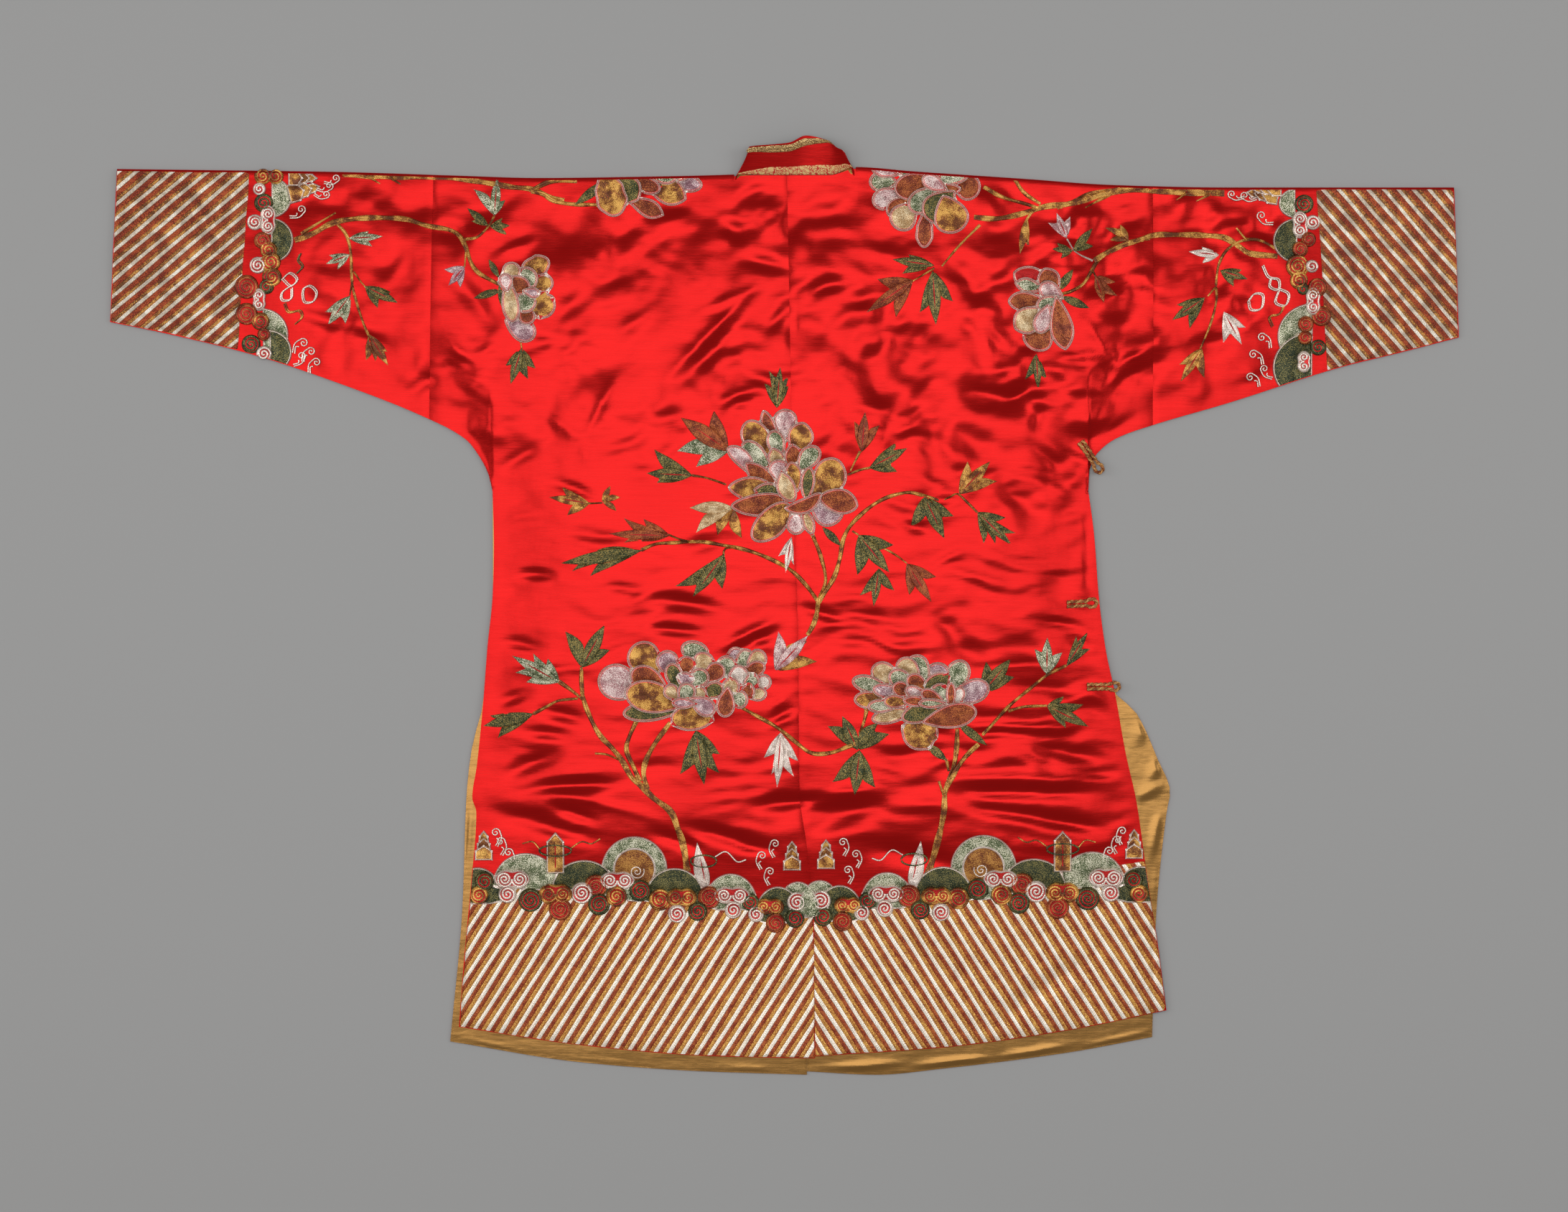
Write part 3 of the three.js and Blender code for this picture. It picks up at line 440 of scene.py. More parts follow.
def wall(name, outer, inner, materials, covers=None):
    """outer and inner are (rows, columns, 3) grids; covers says which cells are cloth, and without it all are."""
    if covers is None:
        covers = np.ones((outer.shape[0] - 1, outer.shape[1] - 1), bool)
    rows, columns = covers.shape
    ids = np.arange((rows + 1) * (columns + 1)).reshape(rows + 1, columns + 1)
    deep = ids + ids.size
    faces, kinds = [], []

    def quads(a, b, c, d, kind):
        quad = np.stack([a, b, c, d], -1).reshape(-1, 4)
        faces.append(quad)
        kinds.append(np.full(len(quad), kind))

    j, i = np.nonzero(covers)
    quads(ids[j, i], ids[j, i + 1], ids[j + 1, i + 1], ids[j + 1, i], 0)
    quads(deep[j + 1, i], deep[j + 1, i + 1], deep[j, i + 1], deep[j, i], 1)
    padded = np.pad(covers, 1)
    for (dj, di), (a, b) in {(-1, 0): ((0, 0), (0, 1)), (0, 1): ((0, 1), (1, 1)),
                             (1, 0): ((1, 1), (1, 0)), (0, -1): ((1, 0), (0, 0))}.items():
        j, i = np.nonzero(covers & ~padded[1 + dj : 1 + dj + rows, 1 + di : 1 + di + columns])
        start, end = (j + a[0], i + a[1]), (j + b[0], i + b[1])
        quads(deep[start], deep[end], ids[end], ids[start], 0)
    faces, kinds = np.concatenate(faces), np.concatenate(kinds)
    points = np.concatenate([outer.reshape(-1, 3), inner.reshape(-1, 3)])
    used = np.unique(faces)
    renumber = np.full(len(points), -1)
    renumber[used] = np.arange(len(used))
    # The outer face looks away from the inner one.
    a, b, c = (points[faces[0][k]] for k in (0, 1, 2))
    if np.dot(np.cross(b - a, c - a), a - points[faces[0][0] + ids.size]) < 0:
        faces = faces[:, ::-1]
    return new_piece(name, points[used], renumber[faces], materials, kinds)


def spread(*stretches):
    """Shares 0 to 1 in stretches of (end, steps)."""
    shares = [np.array([0.0])]
    for end, steps in stretches:
        shares.append(np.linspace(shares[-1][-1], end, steps + 1)[1:])
    return np.concatenate(shares)


# %% [markdown]
# ## Materials
#
# Satin is mostly mirror-like thread: a metallic base in the dye's colour with a fine weave, slubs along the weft
# and small crumples that the mesh doesn't carry.

# %% Materials
def new_material(name):
    material = bpy.data.materials.new(name)
    material.use_nodes = True
    nodes, links = material.node_tree.nodes, material.node_tree.links
    return material, nodes, links, nodes["Principled BSDF"]


def calculator(nodes, links):
    """A function that adds Math nodes to one tree; what it is given are numbers or other nodes' outputs."""

    def maths(kind, *values, clamp=False):
        node = nodes.new("ShaderNodeMath")
        node.operation = kind
        node.use_clamp = clamp
        for socket, value in zip(node.inputs, values):
            if isinstance(value, (int, float)):
                socket.default_value = value
            else:
                links.new(value, socket)
        return node.outputs[0]

    return maths


def blend(nodes, links, share, a, b):
    """A Mix node between two colours, which are numbers or other nodes' outputs."""
    node = nodes.new("ShaderNodeMix")
    node.data_type = "RGBA"
    links.new(share, node.inputs[0])
    for socket, colour in ((node.inputs[6], a), (node.inputs[7], b)):
        if isinstance(colour, tuple):
            socket.default_value = (*colour, 1)
        else:
            links.new(colour, socket)
    return node.outputs[2]


def noise(nodes, links, place, scale, detail=2.0):
    node = nodes.new("ShaderNodeTexNoise")
    node.inputs["Scale"].default_value = scale
    node.inputs["Detail"].default_value = detail
    links.new(place, node.inputs["Vector"])
    return node.outputs["Fac"]


def new_group(name, colours, values):
    """A shader node group that gives a colour, a roughness and a height."""
    group = bpy.data.node_groups.new(name, "ShaderNodeTree")
    face = group.interface
    for title, colour in colours.items():
        face.new_socket(title, in_out="INPUT", socket_type="NodeSocketColor").default_value = (*colour, 1)
    for title, value in values.items():
        face.new_socket(title, in_out="INPUT", socket_type="NodeSocketFloat").default_value = value
    face.new_socket("Color", in_out="OUTPUT", socket_type="NodeSocketColor")
    for title in ("Roughness", "Height"):
        face.new_socket(title, in_out="OUTPUT", socket_type="NodeSocketFloat")
    nodes = group.nodes
    return group, nodes, group.links, nodes.new("NodeGroupInput").outputs, nodes.new("NodeGroupOutput").inputs


def satin_group():
    group, nodes, links, given, result = new_group(
        "satin_weave", {"Colour": (0.4, 0.01, 0.01), "Deep": (0.3, 0.005, 0.005)}, {"Slub": 0.3, "Gloss": 0.3})
    maths = calculator(nodes, links)
    place = nodes.new("ShaderNodeTexCoord").outputs["Object"]

    def stretched(scale, detail=2.0, turn=0.0):
        mapping = nodes.new("ShaderNodeMapping")
        mapping.inputs["Scale"].default_value = scale
        mapping.inputs["Rotation"].default_value = (0, 0, turn)
        links.new(place, mapping.inputs["Vector"])
        return noise(nodes, links, mapping.outputs["Vector"], 1.0, detail)

    weft = stretched((18, 900, 900))
    warp = stretched((1300, 25, 900))
    soft = stretched((9, 14, 9), 3.0)
    threads = maths("ADD", maths("SUBTRACT", weft, 0.5), maths("MULTIPLY", maths("SUBTRACT", warp, 0.5), 0.6))
    shade = maths("ADD", maths("MULTIPLY", threads, given["Slub"]),
                  maths("MULTIPLY", maths("SUBTRACT", soft, 0.5), 0.5))
    dye = blend(nodes, links, maths("ADD", shade, 0.75, clamp=True), given["Deep"], given["Colour"])
    links.new(dye, result["Color"])
    uneven = maths("MULTIPLY", maths("SUBTRACT", weft, 0.5), 0.14)
    links.new(maths("ADD", uneven, given["Gloss"]), result["Roughness"])
    dents = maths("ADD", maths("MULTIPLY", stretched((22, 70, 22), 3.0, 0.3), 1.6),
                  stretched((60, 26, 22), 2.0, -0.5))
    links.new(maths("ADD", dents, maths("MULTIPLY", weft, 0.10)), result["Height"])
    return group


satin_weave = satin_group()


def woven(name, group, colours, values, metallic, depth, strength, specular=0.5, sheen=None):
    """A material whose colour, roughness and relief come from a group."""
    material, nodes, links, shader = new_material(name)
    weave = nodes.new("ShaderNodeGroup")
    weave.node_tree = group
    for title, colour in colours.items():
        weave.inputs[title].default_value = (*colour, 1)
    for title, value in values.items():
        weave.inputs[title].default_value = value
    bump = nodes.new("ShaderNodeBump")
    bump.inputs["Distance"].default_value = depth
    bump.inputs["Strength"].default_value = strength
    links.new(weave.outputs["Height"], bump.inputs["Height"])
    links.new(weave.outputs["Color"], shader.inputs["Base Color"])
    links.new(weave.outputs["Roughness"], shader.inputs["Roughness"])
    links.new(bump.outputs["Normal"], shader.inputs["Normal"])
    shader.inputs["Metallic"].default_value = metallic
    shader.inputs["Specular IOR Level"].default_value = specular
    if sheen:  # the shine of thread seen along the cloth, in a brighter tone of the dye
        shader.inputs["Sheen Weight"].default_value = 0.5
        shader.inputs["Sheen Roughness"].default_value = 0.35
        shader.inputs["Sheen Tint"].default_value = (*sheen, 1)
    return material


def satin(name, colour, deep, metallic, crumple):
    return woven(name, satin_weave, {"Colour": colour, "Deep": deep}, {"Slub": 0.2, "Gloss": 0.27}, metallic,
                 0.0004, crumple, specular=0.18, sheen=[min(1, 2.4 * part) for part in colour])


red_satin = satin("red_satin", (0.435, 0.0050, 0.0044), (0.305, 0.0020, 0.0022), metallic=0.68, crumple=0.45)
gold_satin = satin("gold_satin", (0.32, 0.165, 0.047), (0.18, 0.088, 0.021), metallic=0.75, crumple=0.8)
satins = [red_satin, gold_satin]  # of the outer face and of the inner one

# %% [markdown]
# ## Body and sleeves
#
# Each half of the body is one length from the back hem over the shoulder to the front hem, with the upper sleeve.
# Its columns run outwards from the centre seam. The back has a fine grid; the front, which faces down, a coarse one.

# %% Body
NECK_COLUMNS, BODY_COLUMNS = 4, 13
NECK_STEPS, BODY_STEPS, ARM_STEPS = 24, 63, 18
TOP_OF_ARM_X = 296
FOLD_TURNS = 6


def folded(back, z, fold, front, rise):
    """Gives the layer at a depth under the cloth's face: up the back, over the fold and down the front."""
    angles = np.pi * (0.5 - np.arange(1, FOLD_TURNS) / FOLD_TURNS)

    def layer(depth):
        radius = FOLD_RISE / 2 - depth
        turn = [np.stack([fold[0], fold[1] + radius * np.cos(a),
                          np.full(len(fold[0]), FOLD_RISE / 2 + radius * np.sin(a))], -1) for a in angles]
        return np.concatenate([np.stack([*back, z - depth], -1), np.stack(turn),
                               np.stack([*front, rise + depth], -1)])

    return layer


def body_half(side):
    out = OUT[side]
    neck_x = NECK_LEFT if side == "left" else NECK_RIGHT
    front_end = None if side == "left" else SLIT_Y["right"] + 8
    columns = np.concatenate([np.linspace(0, 4, NECK_STEPS + 1), np.linspace(4, 13, BODY_STEPS + 1)[1:],
                              np.linspace(13, 17, ARM_STEPS + 1)[1:]])
    last_body = NECK_STEPS + BODY_STEPS
    gap = out * SEAM_GAP / 2

    def top_x(centre):
        neck = mix(centre, neck_x, np.sin(np.pi / 2 * np.clip(columns / NECK_COLUMNS, 0, 1)))
        body = mix(neck_x, out * TOP_OF_ARM_X, (columns - NECK_COLUMNS) / (BODY_COLUMNS - NECK_COLUMNS))
        arm = mix(out * TOP_OF_ARM_X, SLEEVE_SEAM[side][0], (columns - BODY_COLUMNS) / UPPER_SLEEVE_STEPS)
        return np.where(columns <= NECK_COLUMNS, neck, np.where(columns <= BODY_COLUMNS, body, arm))

    def arm_points(centre):
        table = np.array(under_sleeve[side][: UPPER_SLEEVE_STEPS + 1])
        x = mix(centre, table[0, 0], columns / BODY_COLUMNS)
        arm_x = np.interp(columns - BODY_COLUMNS, range(len(table)), table[:, 0])
        x = np.where(columns > BODY_COLUMNS, arm_x, x)
        y = np.where(columns > BODY_COLUMNS, read(under_sleeve[side], x), UNDERARM_Y)
        return x, y

    def lower_rows(shares, centre, edge, hem, end):
        outward = columns / BODY_COLUMNS
        end = read(hem[side], np.minimum(outward, 1)) if end is None else np.full(len(columns), end)
        y = mix(end[None], UNDERARM_Y, shares[:, None])
        return mix(read(centre, y) + gap, read(edge[side], y), outward[None]), y

    def upper_rows(shares, centre, top, neck_y):
        x1 = top_x(read(centre, top) + gap)
        y1 = np.where(columns < NECK_COLUMNS, neck_y(x1), shoulder_y(x1))
        x0, y0 = arm_points(read(centre, UNDERARM_Y) + gap)
        return mix(x0[None], x1[None], shares[:, None]), mix(y0[None], y1[None], shares[:, None])

    back_low = lower_rows(spread((0.3, 46), (1, 118))[:-1], centre_back, back_side, back_hem, None)
    back_up = upper_rows(spread((1, 92)), centre_back, NECK_BACK, back_neck_y)
    front_up = upper_rows(spread((1, 20))[::-1], centre_front, NECK_BACK - NECK_DROP, front_neck_y)
    front_low = lower_rows(spread((1, 30))[::-1][1:], centre_front, front_side, front_hem, front_end)
    back_x, back_y = (np.concatenate(pair) for pair in zip(back_low, back_up))
    front_x, front_y = (np.concatenate(pair) for pair in zip(front_up, front_low))

    z = back_height(side, back_x, back_y)
    z[-1, NECK_STEPS:] = FOLD_RISE
    rise = np.zeros_like(front_x) if side == "left" else right_front_rise(front_x, front_y)
    layer = folded((back_x, back_y), z, (back_x[-1], back_y[-1]), (front_x, front_y), rise)
    to_arm, to_fold = len(back_low[0]), len(back_x) - 1
    down = to_fold + FOLD_TURNS
    down_arm = down + len(front_up[0]) - 1
    covers = np.ones((down + len(front_x) - 1, len(columns) - 1), bool)
    covers[:to_arm, last_body:] = False
    covers[down_arm:, last_body:] = False
    covers[to_fold:down, :NECK_STEPS] = False
    return wall(f"cloth_body_{side}", layer(0), layer(CLOTH), satins, covers)


def right_front_rise(x, y):
    """The right front lies on the overlap, and comes down to the surface beyond its free edge."""
    within = np.clip(x, overlap_edge[0][0], UNDERARM_X)
    past = y - read(overlap_edge, within) + 0.6 * np.maximum(0, x - 290)
    return SECOND_LAYER * ease((75 - past) / 40)


bodies = {}
for side in ("left", "right"):
    piece = bodies[side] = body_half(side)
    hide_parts(f"body_{side}")
    print(piece.name, len(piece.data.polygons))

# %% [markdown]
# The lower sleeve is sewn to the upper one, folded along its top and closed by its under seam.

# %% Sleeves
def lower_sleeve(side):
    out = OUT[side]
    seam, cuff = SLEEVE_SEAM[side], CUFF[side]
    along = np.linspace(0, 1, 88)
    top_x = mix(seam[0], cuff[0], along)
    low_x = mix(seam[1], cuff[1], along)
    top_x[0] += out * SEAM_GAP
    low_x[0] += out * SEAM_GAP
    top_y, low_y = shoulder_y(top_x), read(under_sleeve[side], low_x)

    def flat(up):
        return mix(low_x[None], top_x[None], up[:, None]), mix(low_y[None], top_y[None], up[:, None])

    back, front = flat(np.linspace(0, 1, 56)), flat(np.linspace(1, 0, 14))
    z = sleeve_height(side, *back, np.broadcast_to(along, back[0].shape))
    layer = folded(back, z, (top_x, top_y), front, np.zeros(front[0].shape))
    return wall(f"cloth_sleeve_{side}", layer(0), layer(CLOTH), satins)


for side in ("left", "right"):
    piece = lower_sleeve(side)
    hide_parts(f"sleeve_{side}")
    print(piece.name, len(piece.data.polygons))

# %% [markdown]
# The overlap is the outermost layer of the front on the right. The gold lining shows past the back's edges, where
# it ripples a little.

# %% Overlap and linings
def overlap_panel():
    outward, up = np.linspace(0, 1, 46), np.linspace(0, 1, 60)
    low = read(front_hem["right"], outward)
    high = read(overlap_edge, mix(overlap_edge[0][0], UNDERARM_X, outward))
    y = mix(low[None], high[None], up[:, None])
    inner = read(centre_front, y) + SEAM / 2
    outer = np.where(y > UNDERARM_Y, UNDERARM_X, read(front_side["right"], y))
    x = mix(inner, outer, outward[None])
    return wall("cloth_overlap", np.stack([x, y, 0 * x], -1), np.stack([x, y, 0 * x + CLOTH], -1), satins)


piece = overlap_panel()
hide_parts("front_overlap")


# x, y, turn, long, wide, high of the ripples in the linings' free margins
lining_ripples = [
    (362, -120, 70, 60, 14, 1.3), (352, -150, 60, 50, 10, -0.5), (375, -160, 62, 60, 10, 1.5),
    (366, -186, 30, 50, 9, 1.2), (378, -205, 20, 50, 9, -0.5), (372, -230, 80, 60, 9, 1.2),
    (376, -292, 88, 90, 8, 1.3), (374, -370, 86, 90, 8, 1.2), (-318, -240, 84, 120, 7, 1.0),
    (-326, -340, 86, 130, 7, 1.1), (-332, -410, 88, 60, 6, 0.8), (80, -461, 4, 90, 7, 1.1),
    (170, -457, 6, 90, 7, 1.3), (250, -447, 10, 90, 7, 1.1), (330, -438, 14, 90, 8, 1.3),
    (-60, -466, 2, 120, 6, 0.8), (-180, -460, -6, 140, 7, 1.0), (-280, -446, -14, 100, 7, 1.0),
]


def skirt_lining(side):
    out = OUT[side]
    outward, up = spread((0.8, 30), (1, 40)), spread((0.12, 22), (1, 90))
    low = read(front_hem[side], outward) + LINING_INSET
    y = mix(low[None], SLIT_Y[side] - 6, up[:, None])
    inner = read(centre_front, y) + out * LINING_INSET
    outer = read(front_side[side], y) - out * LINING_INSET
    x = mix(inner, outer, outward[None])
    # How far a point lies past the back's edges, where nothing lies on it.
    share = np.clip((x - read(centre_back, y)) / (read(back_side[side], y) - read(centre_back, y)), 0, 1)
    past = np.maximum(out * (x - read(back_side[side], y)), read(back_hem[side], share) - y)
    lift = np.zeros_like(x)
    for *place, high in lining_ripples:
        along, across = along_across(x, y, *place)
        lift += high * np.exp(-across**2) * (1 - np.minimum(along**2, 1)) ** 2
    to_edge = np.minimum(out * (outer - x), y - low[None])
    z = SECOND_LAYER + LINING + np.maximum(0, lift) * ease((past + 1) / 8) * ease(to_edge / 5)
    return wall(f"cloth_lining_{side}", np.stack([x, y, z], -1), np.stack([x, y, z - LINING], -1),
                [gold_satin, gold_satin])


for side, area in (("left", 0.118), ("right", 0.125)):
    piece = skirt_lining(side)
    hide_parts(f"lining_{side}")

# %% [markdown]
# ## Collar
#
# The standing collar is a band that lies flattened: a ring with two folds, its back run uppermost.

# %% Collar
COLLAR_WALL = 1.6
TRIM = 1.0
COLLAR_HEIGHT = 36
FRONT_NECK_EASE = 2.4
COLLAR_GAP = 0.08
# x, y of its free edge
collar_edge = [(-50, 456), (-32, 459.5), (5, 463), (22, 470), (42, 466), (60, 457.5), (72, 455)]
# x, how far the edge leans over
collar_lean = [(-50, 15), (-32, 0), (5, 0.01), (22, 0), (42, 0.01), (60, -6), (72, -10)]


def collar_grid(up, out, along, bend):
    """Points of the collar: `up` from neck to edge, `out` off its outer face, at columns of along and bend."""
    cos, sin = np.cos(np.radians(bend))[None], np.sin(np.radians(bend))[None]
    up = up[:, None]
    radius, middle = mix(3.1, 7.6, up), mix(3.9, 8.2, up)
    at_back = (1 + sin) / 2
    inset = mix(FRONT_NECK_EASE, SEAM, at_back)
    neck_x = NECK_MIDDLE + along[None] * (NECK_HALF - inset - radius) + radius * cos
    back_base = back_neck_y(neck_x) + mix(SEAM, 1.2, at_neck_side(neck_x))
    base = mix(front_neck_y(neck_x) + FRONT_NECK_EASE, back_base, at_back)
    edge = mix(front_neck_y(neck_x) + COLLAR_HEIGHT, read(collar_edge, neck_x), at_back)
    x = neck_x + up * read(collar_lean, neck_x) + out * cos
    wave = 0.5 * at_back * up * np.sin(neck_x / 9.0) * ease((30 - np.abs(neck_x - 20)) / 30)
    return np.stack([x, mix(base, edge, up), middle + (radius + out + wave) * sin], -1)


def collar_columns(front, turn, back):
    run = np.linspace(COLLAR_GAP, 1, front)
    bends = 180 * np.arange(1, turn) / turn
    along = [-run, np.full(turn - 1, -1.0), np.linspace(-1, 1, back), np.full(turn - 1, 1.0), run[::-1]]
    bend = [np.full(front, -90.0), -90 - bends, np.full(back, 90.0), 90 - bends, np.full(front, -90.0)]
    return np.concatenate(along), np.concatenate(bend)


def collar_band():
    along, bend = collar_columns(20, 12, 70)
    up = np.linspace(0, 1, 24)
    return wall("cloth_collar", collar_grid(up, 0, along, bend), collar_grid(up, -COLLAR_WALL, along, bend), satins)


piece = collar_band()
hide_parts("collar")
print(piece.name, len(piece.data.polygons))

# %% [markdown]
# ## Embroidery
#
# The ground is covered with couched metal thread. Petals, leaves, stems and hills are shapes stacked as they
# overlap; each group of them is cut into one flat network of triangles, in which every triangle belongs to the
# uppermost shape there. Distances from a shape's own outline then give its bands: two thin silver cords with red
# between them, and the filling, laid in rows that follow the outline.

# %% Thread materials
def thread_group():
    """Rows of couched thread: colour, roughness and height from the row's distance and the place along it. The colour
    holds painted shine and shade: patches and glints between the thread's shaded and lit tones, and painted shade
    between the rows.
    """
    group, nodes, links, given, result = new_group(
        "couched_thread", {"Bright": (1, 1, 1), "Middle": (0.5, 0.5, 0.5), "Deep": (0.1, 0.1, 0.1),
                           "Stitch": (0.3, 0.05, 0.02)}, {"Pitch": 1.1, "Shine_patches": 0.5, "Glints": 0.5, "Gloss": 0.33})
    maths = calculator(nodes, links)
    place = nodes.new("ShaderNodeTexCoord").outputs["Object"]
    thread = nodes.new("ShaderNodeUVMap")
    thread.uv_map = "thread"
    split = nodes.new("ShaderNodeSeparateXYZ")
    links.new(thread.outputs["UV"], split.inputs[0])
    along, across = split.outputs["X"], split.outputs["Y"]
    row = maths("DIVIDE", across, given["Pitch"])
    ridge = maths("ABSOLUTE", maths("SINE", maths("MULTIPLY", row, math.pi)))
    step = maths("FLOOR", row)
    run = maths("FRACT", maths("ADD", maths("DIVIDE", along, 2.3), maths("MULTIPLY", step, 0.37)))
    dash = maths("GREATER_THAN", run, 0.78)
    # Painted shine and shade: broad patches and fine glints move the colour between the shaded (Deep), middle and lit
    # (Bright) tones, as light catching the metal thread would.
    patch = noise(nodes, links, place, 95.0, 3.0)
    glint = noise(nodes, links, place, 1100.0, 1.0)
    level = maths("ADD", maths("MULTIPLY", maths("SUBTRACT", patch, 0.5), maths("MULTIPLY", given["Shine_patches"], 5.0)),
                  maths("ADD", 0.45, maths("MULTIPLY", maths("SUBTRACT", glint, 0.5),
                                           maths("MULTIPLY", given["Glints"], 5.0))), clamp=True)
    low = maths("MULTIPLY", level, 2.0, clamp=True)
    high = maths("SUBTRACT", maths("MULTIPLY", level, 2.0), 1.0, clamp=True)
    colour = blend(nodes, links, low, given["Deep"], given["Middle"])
    colour = blend(nodes, links, high, colour, given["Bright"])
    colour = blend(nodes, links, maths("MULTIPLY", dash, 0.55), colour, given["Stitch"])
    # Painted shade in the grooves between the rows of thread.
    painted_row_shade = maths("SUBTRACT", 1.0, maths("MULTIPLY", ridge, 2.2), clamp=True)
    colour = blend(nodes, links, maths("MULTIPLY", painted_row_shade, 0.6), colour, given["Deep"])
    links.new(colour, result["Color"])
    links.new(maths("ADD", given["Gloss"], maths("MULTIPLY", glint, 0.14)), result["Roughness"])
    links.new(maths("SUBTRACT", ridge, maths("MULTIPLY", dash, 0.4)), result["Height"])
    return group


couched = thread_group()


def thread(name, bright, middle, deep, stitch, pitch=1.15, patches=0.5, specks=0.5, metallic=0.5, gloss=0.33):
    return woven(name, couched, {"Bright": bright, "Middle": middle, "Deep": deep, "Stitch": stitch},
                 {"Pitch": pitch, "Shine_patches": patches, "Glints": specks, "Gloss": gloss}, metallic, 0.0003, 0.6)


threads = {}


def dye(name, *colours, **laid):
    threads[name] = thread(f"thread_{name}", *colours, **laid)


# Each thread is given a lit, a middle and a shaded tone for its painted shine and shade, and the colour of its
# couching stitches.
RUST = (0.50, 0.07, 0.015)
dye("silver", (1.0, 0.92, 0.84), (0.84, 0.73, 0.65), (0.42, 0.29, 0.23), (0.50, 0.31, 0.26), patches=0.2, specks=0.4,
    metallic=0.55, gloss=0.26)
dye("gold", (0.85, 0.48, 0.11), (0.42, 0.18, 0.03), (0.11, 0.035, 0.010), RUST, patches=1.0)
dye("copper", (0.56, 0.17, 0.045), (0.30, 0.06, 0.016), (0.11, 0.016, 0.008), RUST, patches=0.6, specks=0.8)
dye("rose", (0.98, 0.83, 0.78), (0.70, 0.50, 0.47), (0.36, 0.16, 0.17), (0.50, 0.12, 0.16), patches=0.6, specks=0.7,
    metallic=0.55)
dye("sage", (0.82, 0.78, 0.60), (0.40, 0.39, 0.24), (0.08, 0.11, 0.045), (0.06, 0.09, 0.04), patches=0.7, specks=1.1,
    metallic=0.6)
dye("moss", (0.40, 0.29, 0.085), (0.11, 0.095, 0.025), (0.025, 0.036, 0.012), (0.03, 0.06, 0.02), patches=0.5,
    specks=1.2)
dye("pine", (0.24, 0.20, 0.065), (0.050, 0.055, 0.019), (0.013, 0.022, 0.009), (0.02, 0.04, 0.015), patches=0.5,
    specks=1.2)
dye("bronze", (0.64, 0.33, 0.075), (0.34, 0.135, 0.024), (0.12, 0.038, 0.010), RUST, patches=0.6, specks=0.8)
dye("cream", (0.92, 0.76, 0.50), (0.70, 0.50, 0.28), (0.38, 0.22, 0.09), (0.46, 0.24, 0.10), patches=0.6, specks=0.5,
    metallic=0.6)
dye("lilac", (0.88, 0.72, 0.70), (0.52, 0.35, 0.37), (0.23, 0.11, 0.13), (0.36, 0.08, 0.14), patches=0.6, specks=0.6,
    metallic=0.6)
dye("red", (0.80, 0.03, 0.02), (0.62, 0.012, 0.012), (0.36, 0.004, 0.006), (0.4, 0.005, 0.005), patches=0.3,
    specks=0.3, metallic=0.5)
thread_names = list(threads)

# %% [markdown]
# A style lists its bands by the distance where each ends, the height of the work at some distances, and the
# distances at which the network gets a line of points.

# %% Styles
OUTER_CORD, OUTER_GAP, INNER_CORD, INNER_GAP = 1.05, 1.65, 2.4, 2.9


def petal_style(fill):
    return {"bands": [(OUTER_CORD, "silver"), (OUTER_GAP, "red"), (INNER_CORD, "silver"), (INNER_GAP, "red"),
                      (999, fill)],
            "lift": [(0, -0.1), (0.5, 0.9), (OUTER_CORD, 0.45), (OUTER_GAP, 0.45), (2.0, 0.85), (INNER_CORD, 0.45),
                     (INNER_GAP, 0.45), (4.2, 1.1), (9, 1.5)],
            "loops": [0, 0.5, OUTER_CORD, OUTER_GAP, 2.0, INNER_CORD, INNER_GAP, 4.4], "grid": 3.6}


def leaf_style(fill):
    return {"bands": [(999, fill)], "lift": [(0, -0.1), (0.8, 0.8), (3, 1.1)], "loops": [0, 1.1], "grid": 3.6}


def hill_style(fill):
    return {"bands": [(1.5, "silver"), (999, fill)], "lift": [(0, -0.1), (0.7, 1.2), (1.5, 0.7), (4, 1.2)],
            "loops": [0, 0.75, 1.5, 3.2], "grid": 4.5}


styles = {f"{kind}_{fill}": make(fill) for kind, make in (("petal", petal_style), ("leaf", leaf_style),
                                                         ("hill", hill_style))
          for fill in thread_names}
styles["slit"] = {"bands": [(999, "red")], "lift": [(0, 0.5), (1, 0.5)], "loops": [0], "grid": 9}
stem_lift = [(0, -0.1), (0.9, 1.0), (1.3, 1.0), (1.8, 0.45), (2.4, 0.5), (3.2, 0.9)]  # two cords side by side
for fill_name in thread_names:
    styles[f"stem_{fill_name}"] = {"bands": [(999, fill_name)], "loops": [0], "grid": 0, "lift": stem_lift}


# %% [markdown]
# ### Outlines of petals, leaves and stems
#
# A petal runs from its root to its tip: `widest` says where along that it is broadest, `point` how pointed its tip
# is, and `bend` how far it curves to its left.

# %% Shapes
def petal(tip, root, width, fill, widest=0.62, point=0.0, bend=0.0, style="petal", steps=None, wave=0.0):
    tip, root = np.array(tip, float), np.array(root, float)
    axis = tip - root
    length = np.hypot(*axis)
    steps = steps or max(7, int(length / 2.6))
    t = 0.5 - 0.5 * np.cos(np.pi * np.linspace(0, 1, steps + 1))
    power = math.log(0.5) / math.log(widest)
    swell = np.sin(np.pi * t**power)
    sharp = mix(0.5 if style == "petal" else 0.9, mix(0.48, 1.05, point), t)
    half = width / 2 * np.abs(swell) ** sharp * (1 + wave * np.sin(t * 19))
    middle = bend * length * 4 * t * (1 - t)
    along, across = axis / length, np.array([-axis[1], axis[0]]) / length
    left = root + np.outer(t * length, along) + np.outer(middle + half, across)
    right = root + np.outer(t * length, along) + np.outer(middle - half, across)
    return {"loop": np.concatenate([left, right[::-1][1:-1]]), "style": f"{style}_{fill}"}


def opening(tip, root, width):
    """A narrow slit between threads, through which the red satin shows."""
    return {"loop": petal(tip, root, width, "red", 0.5, 0.9, style="leaf", steps=8)["loop"], "style": "slit"}


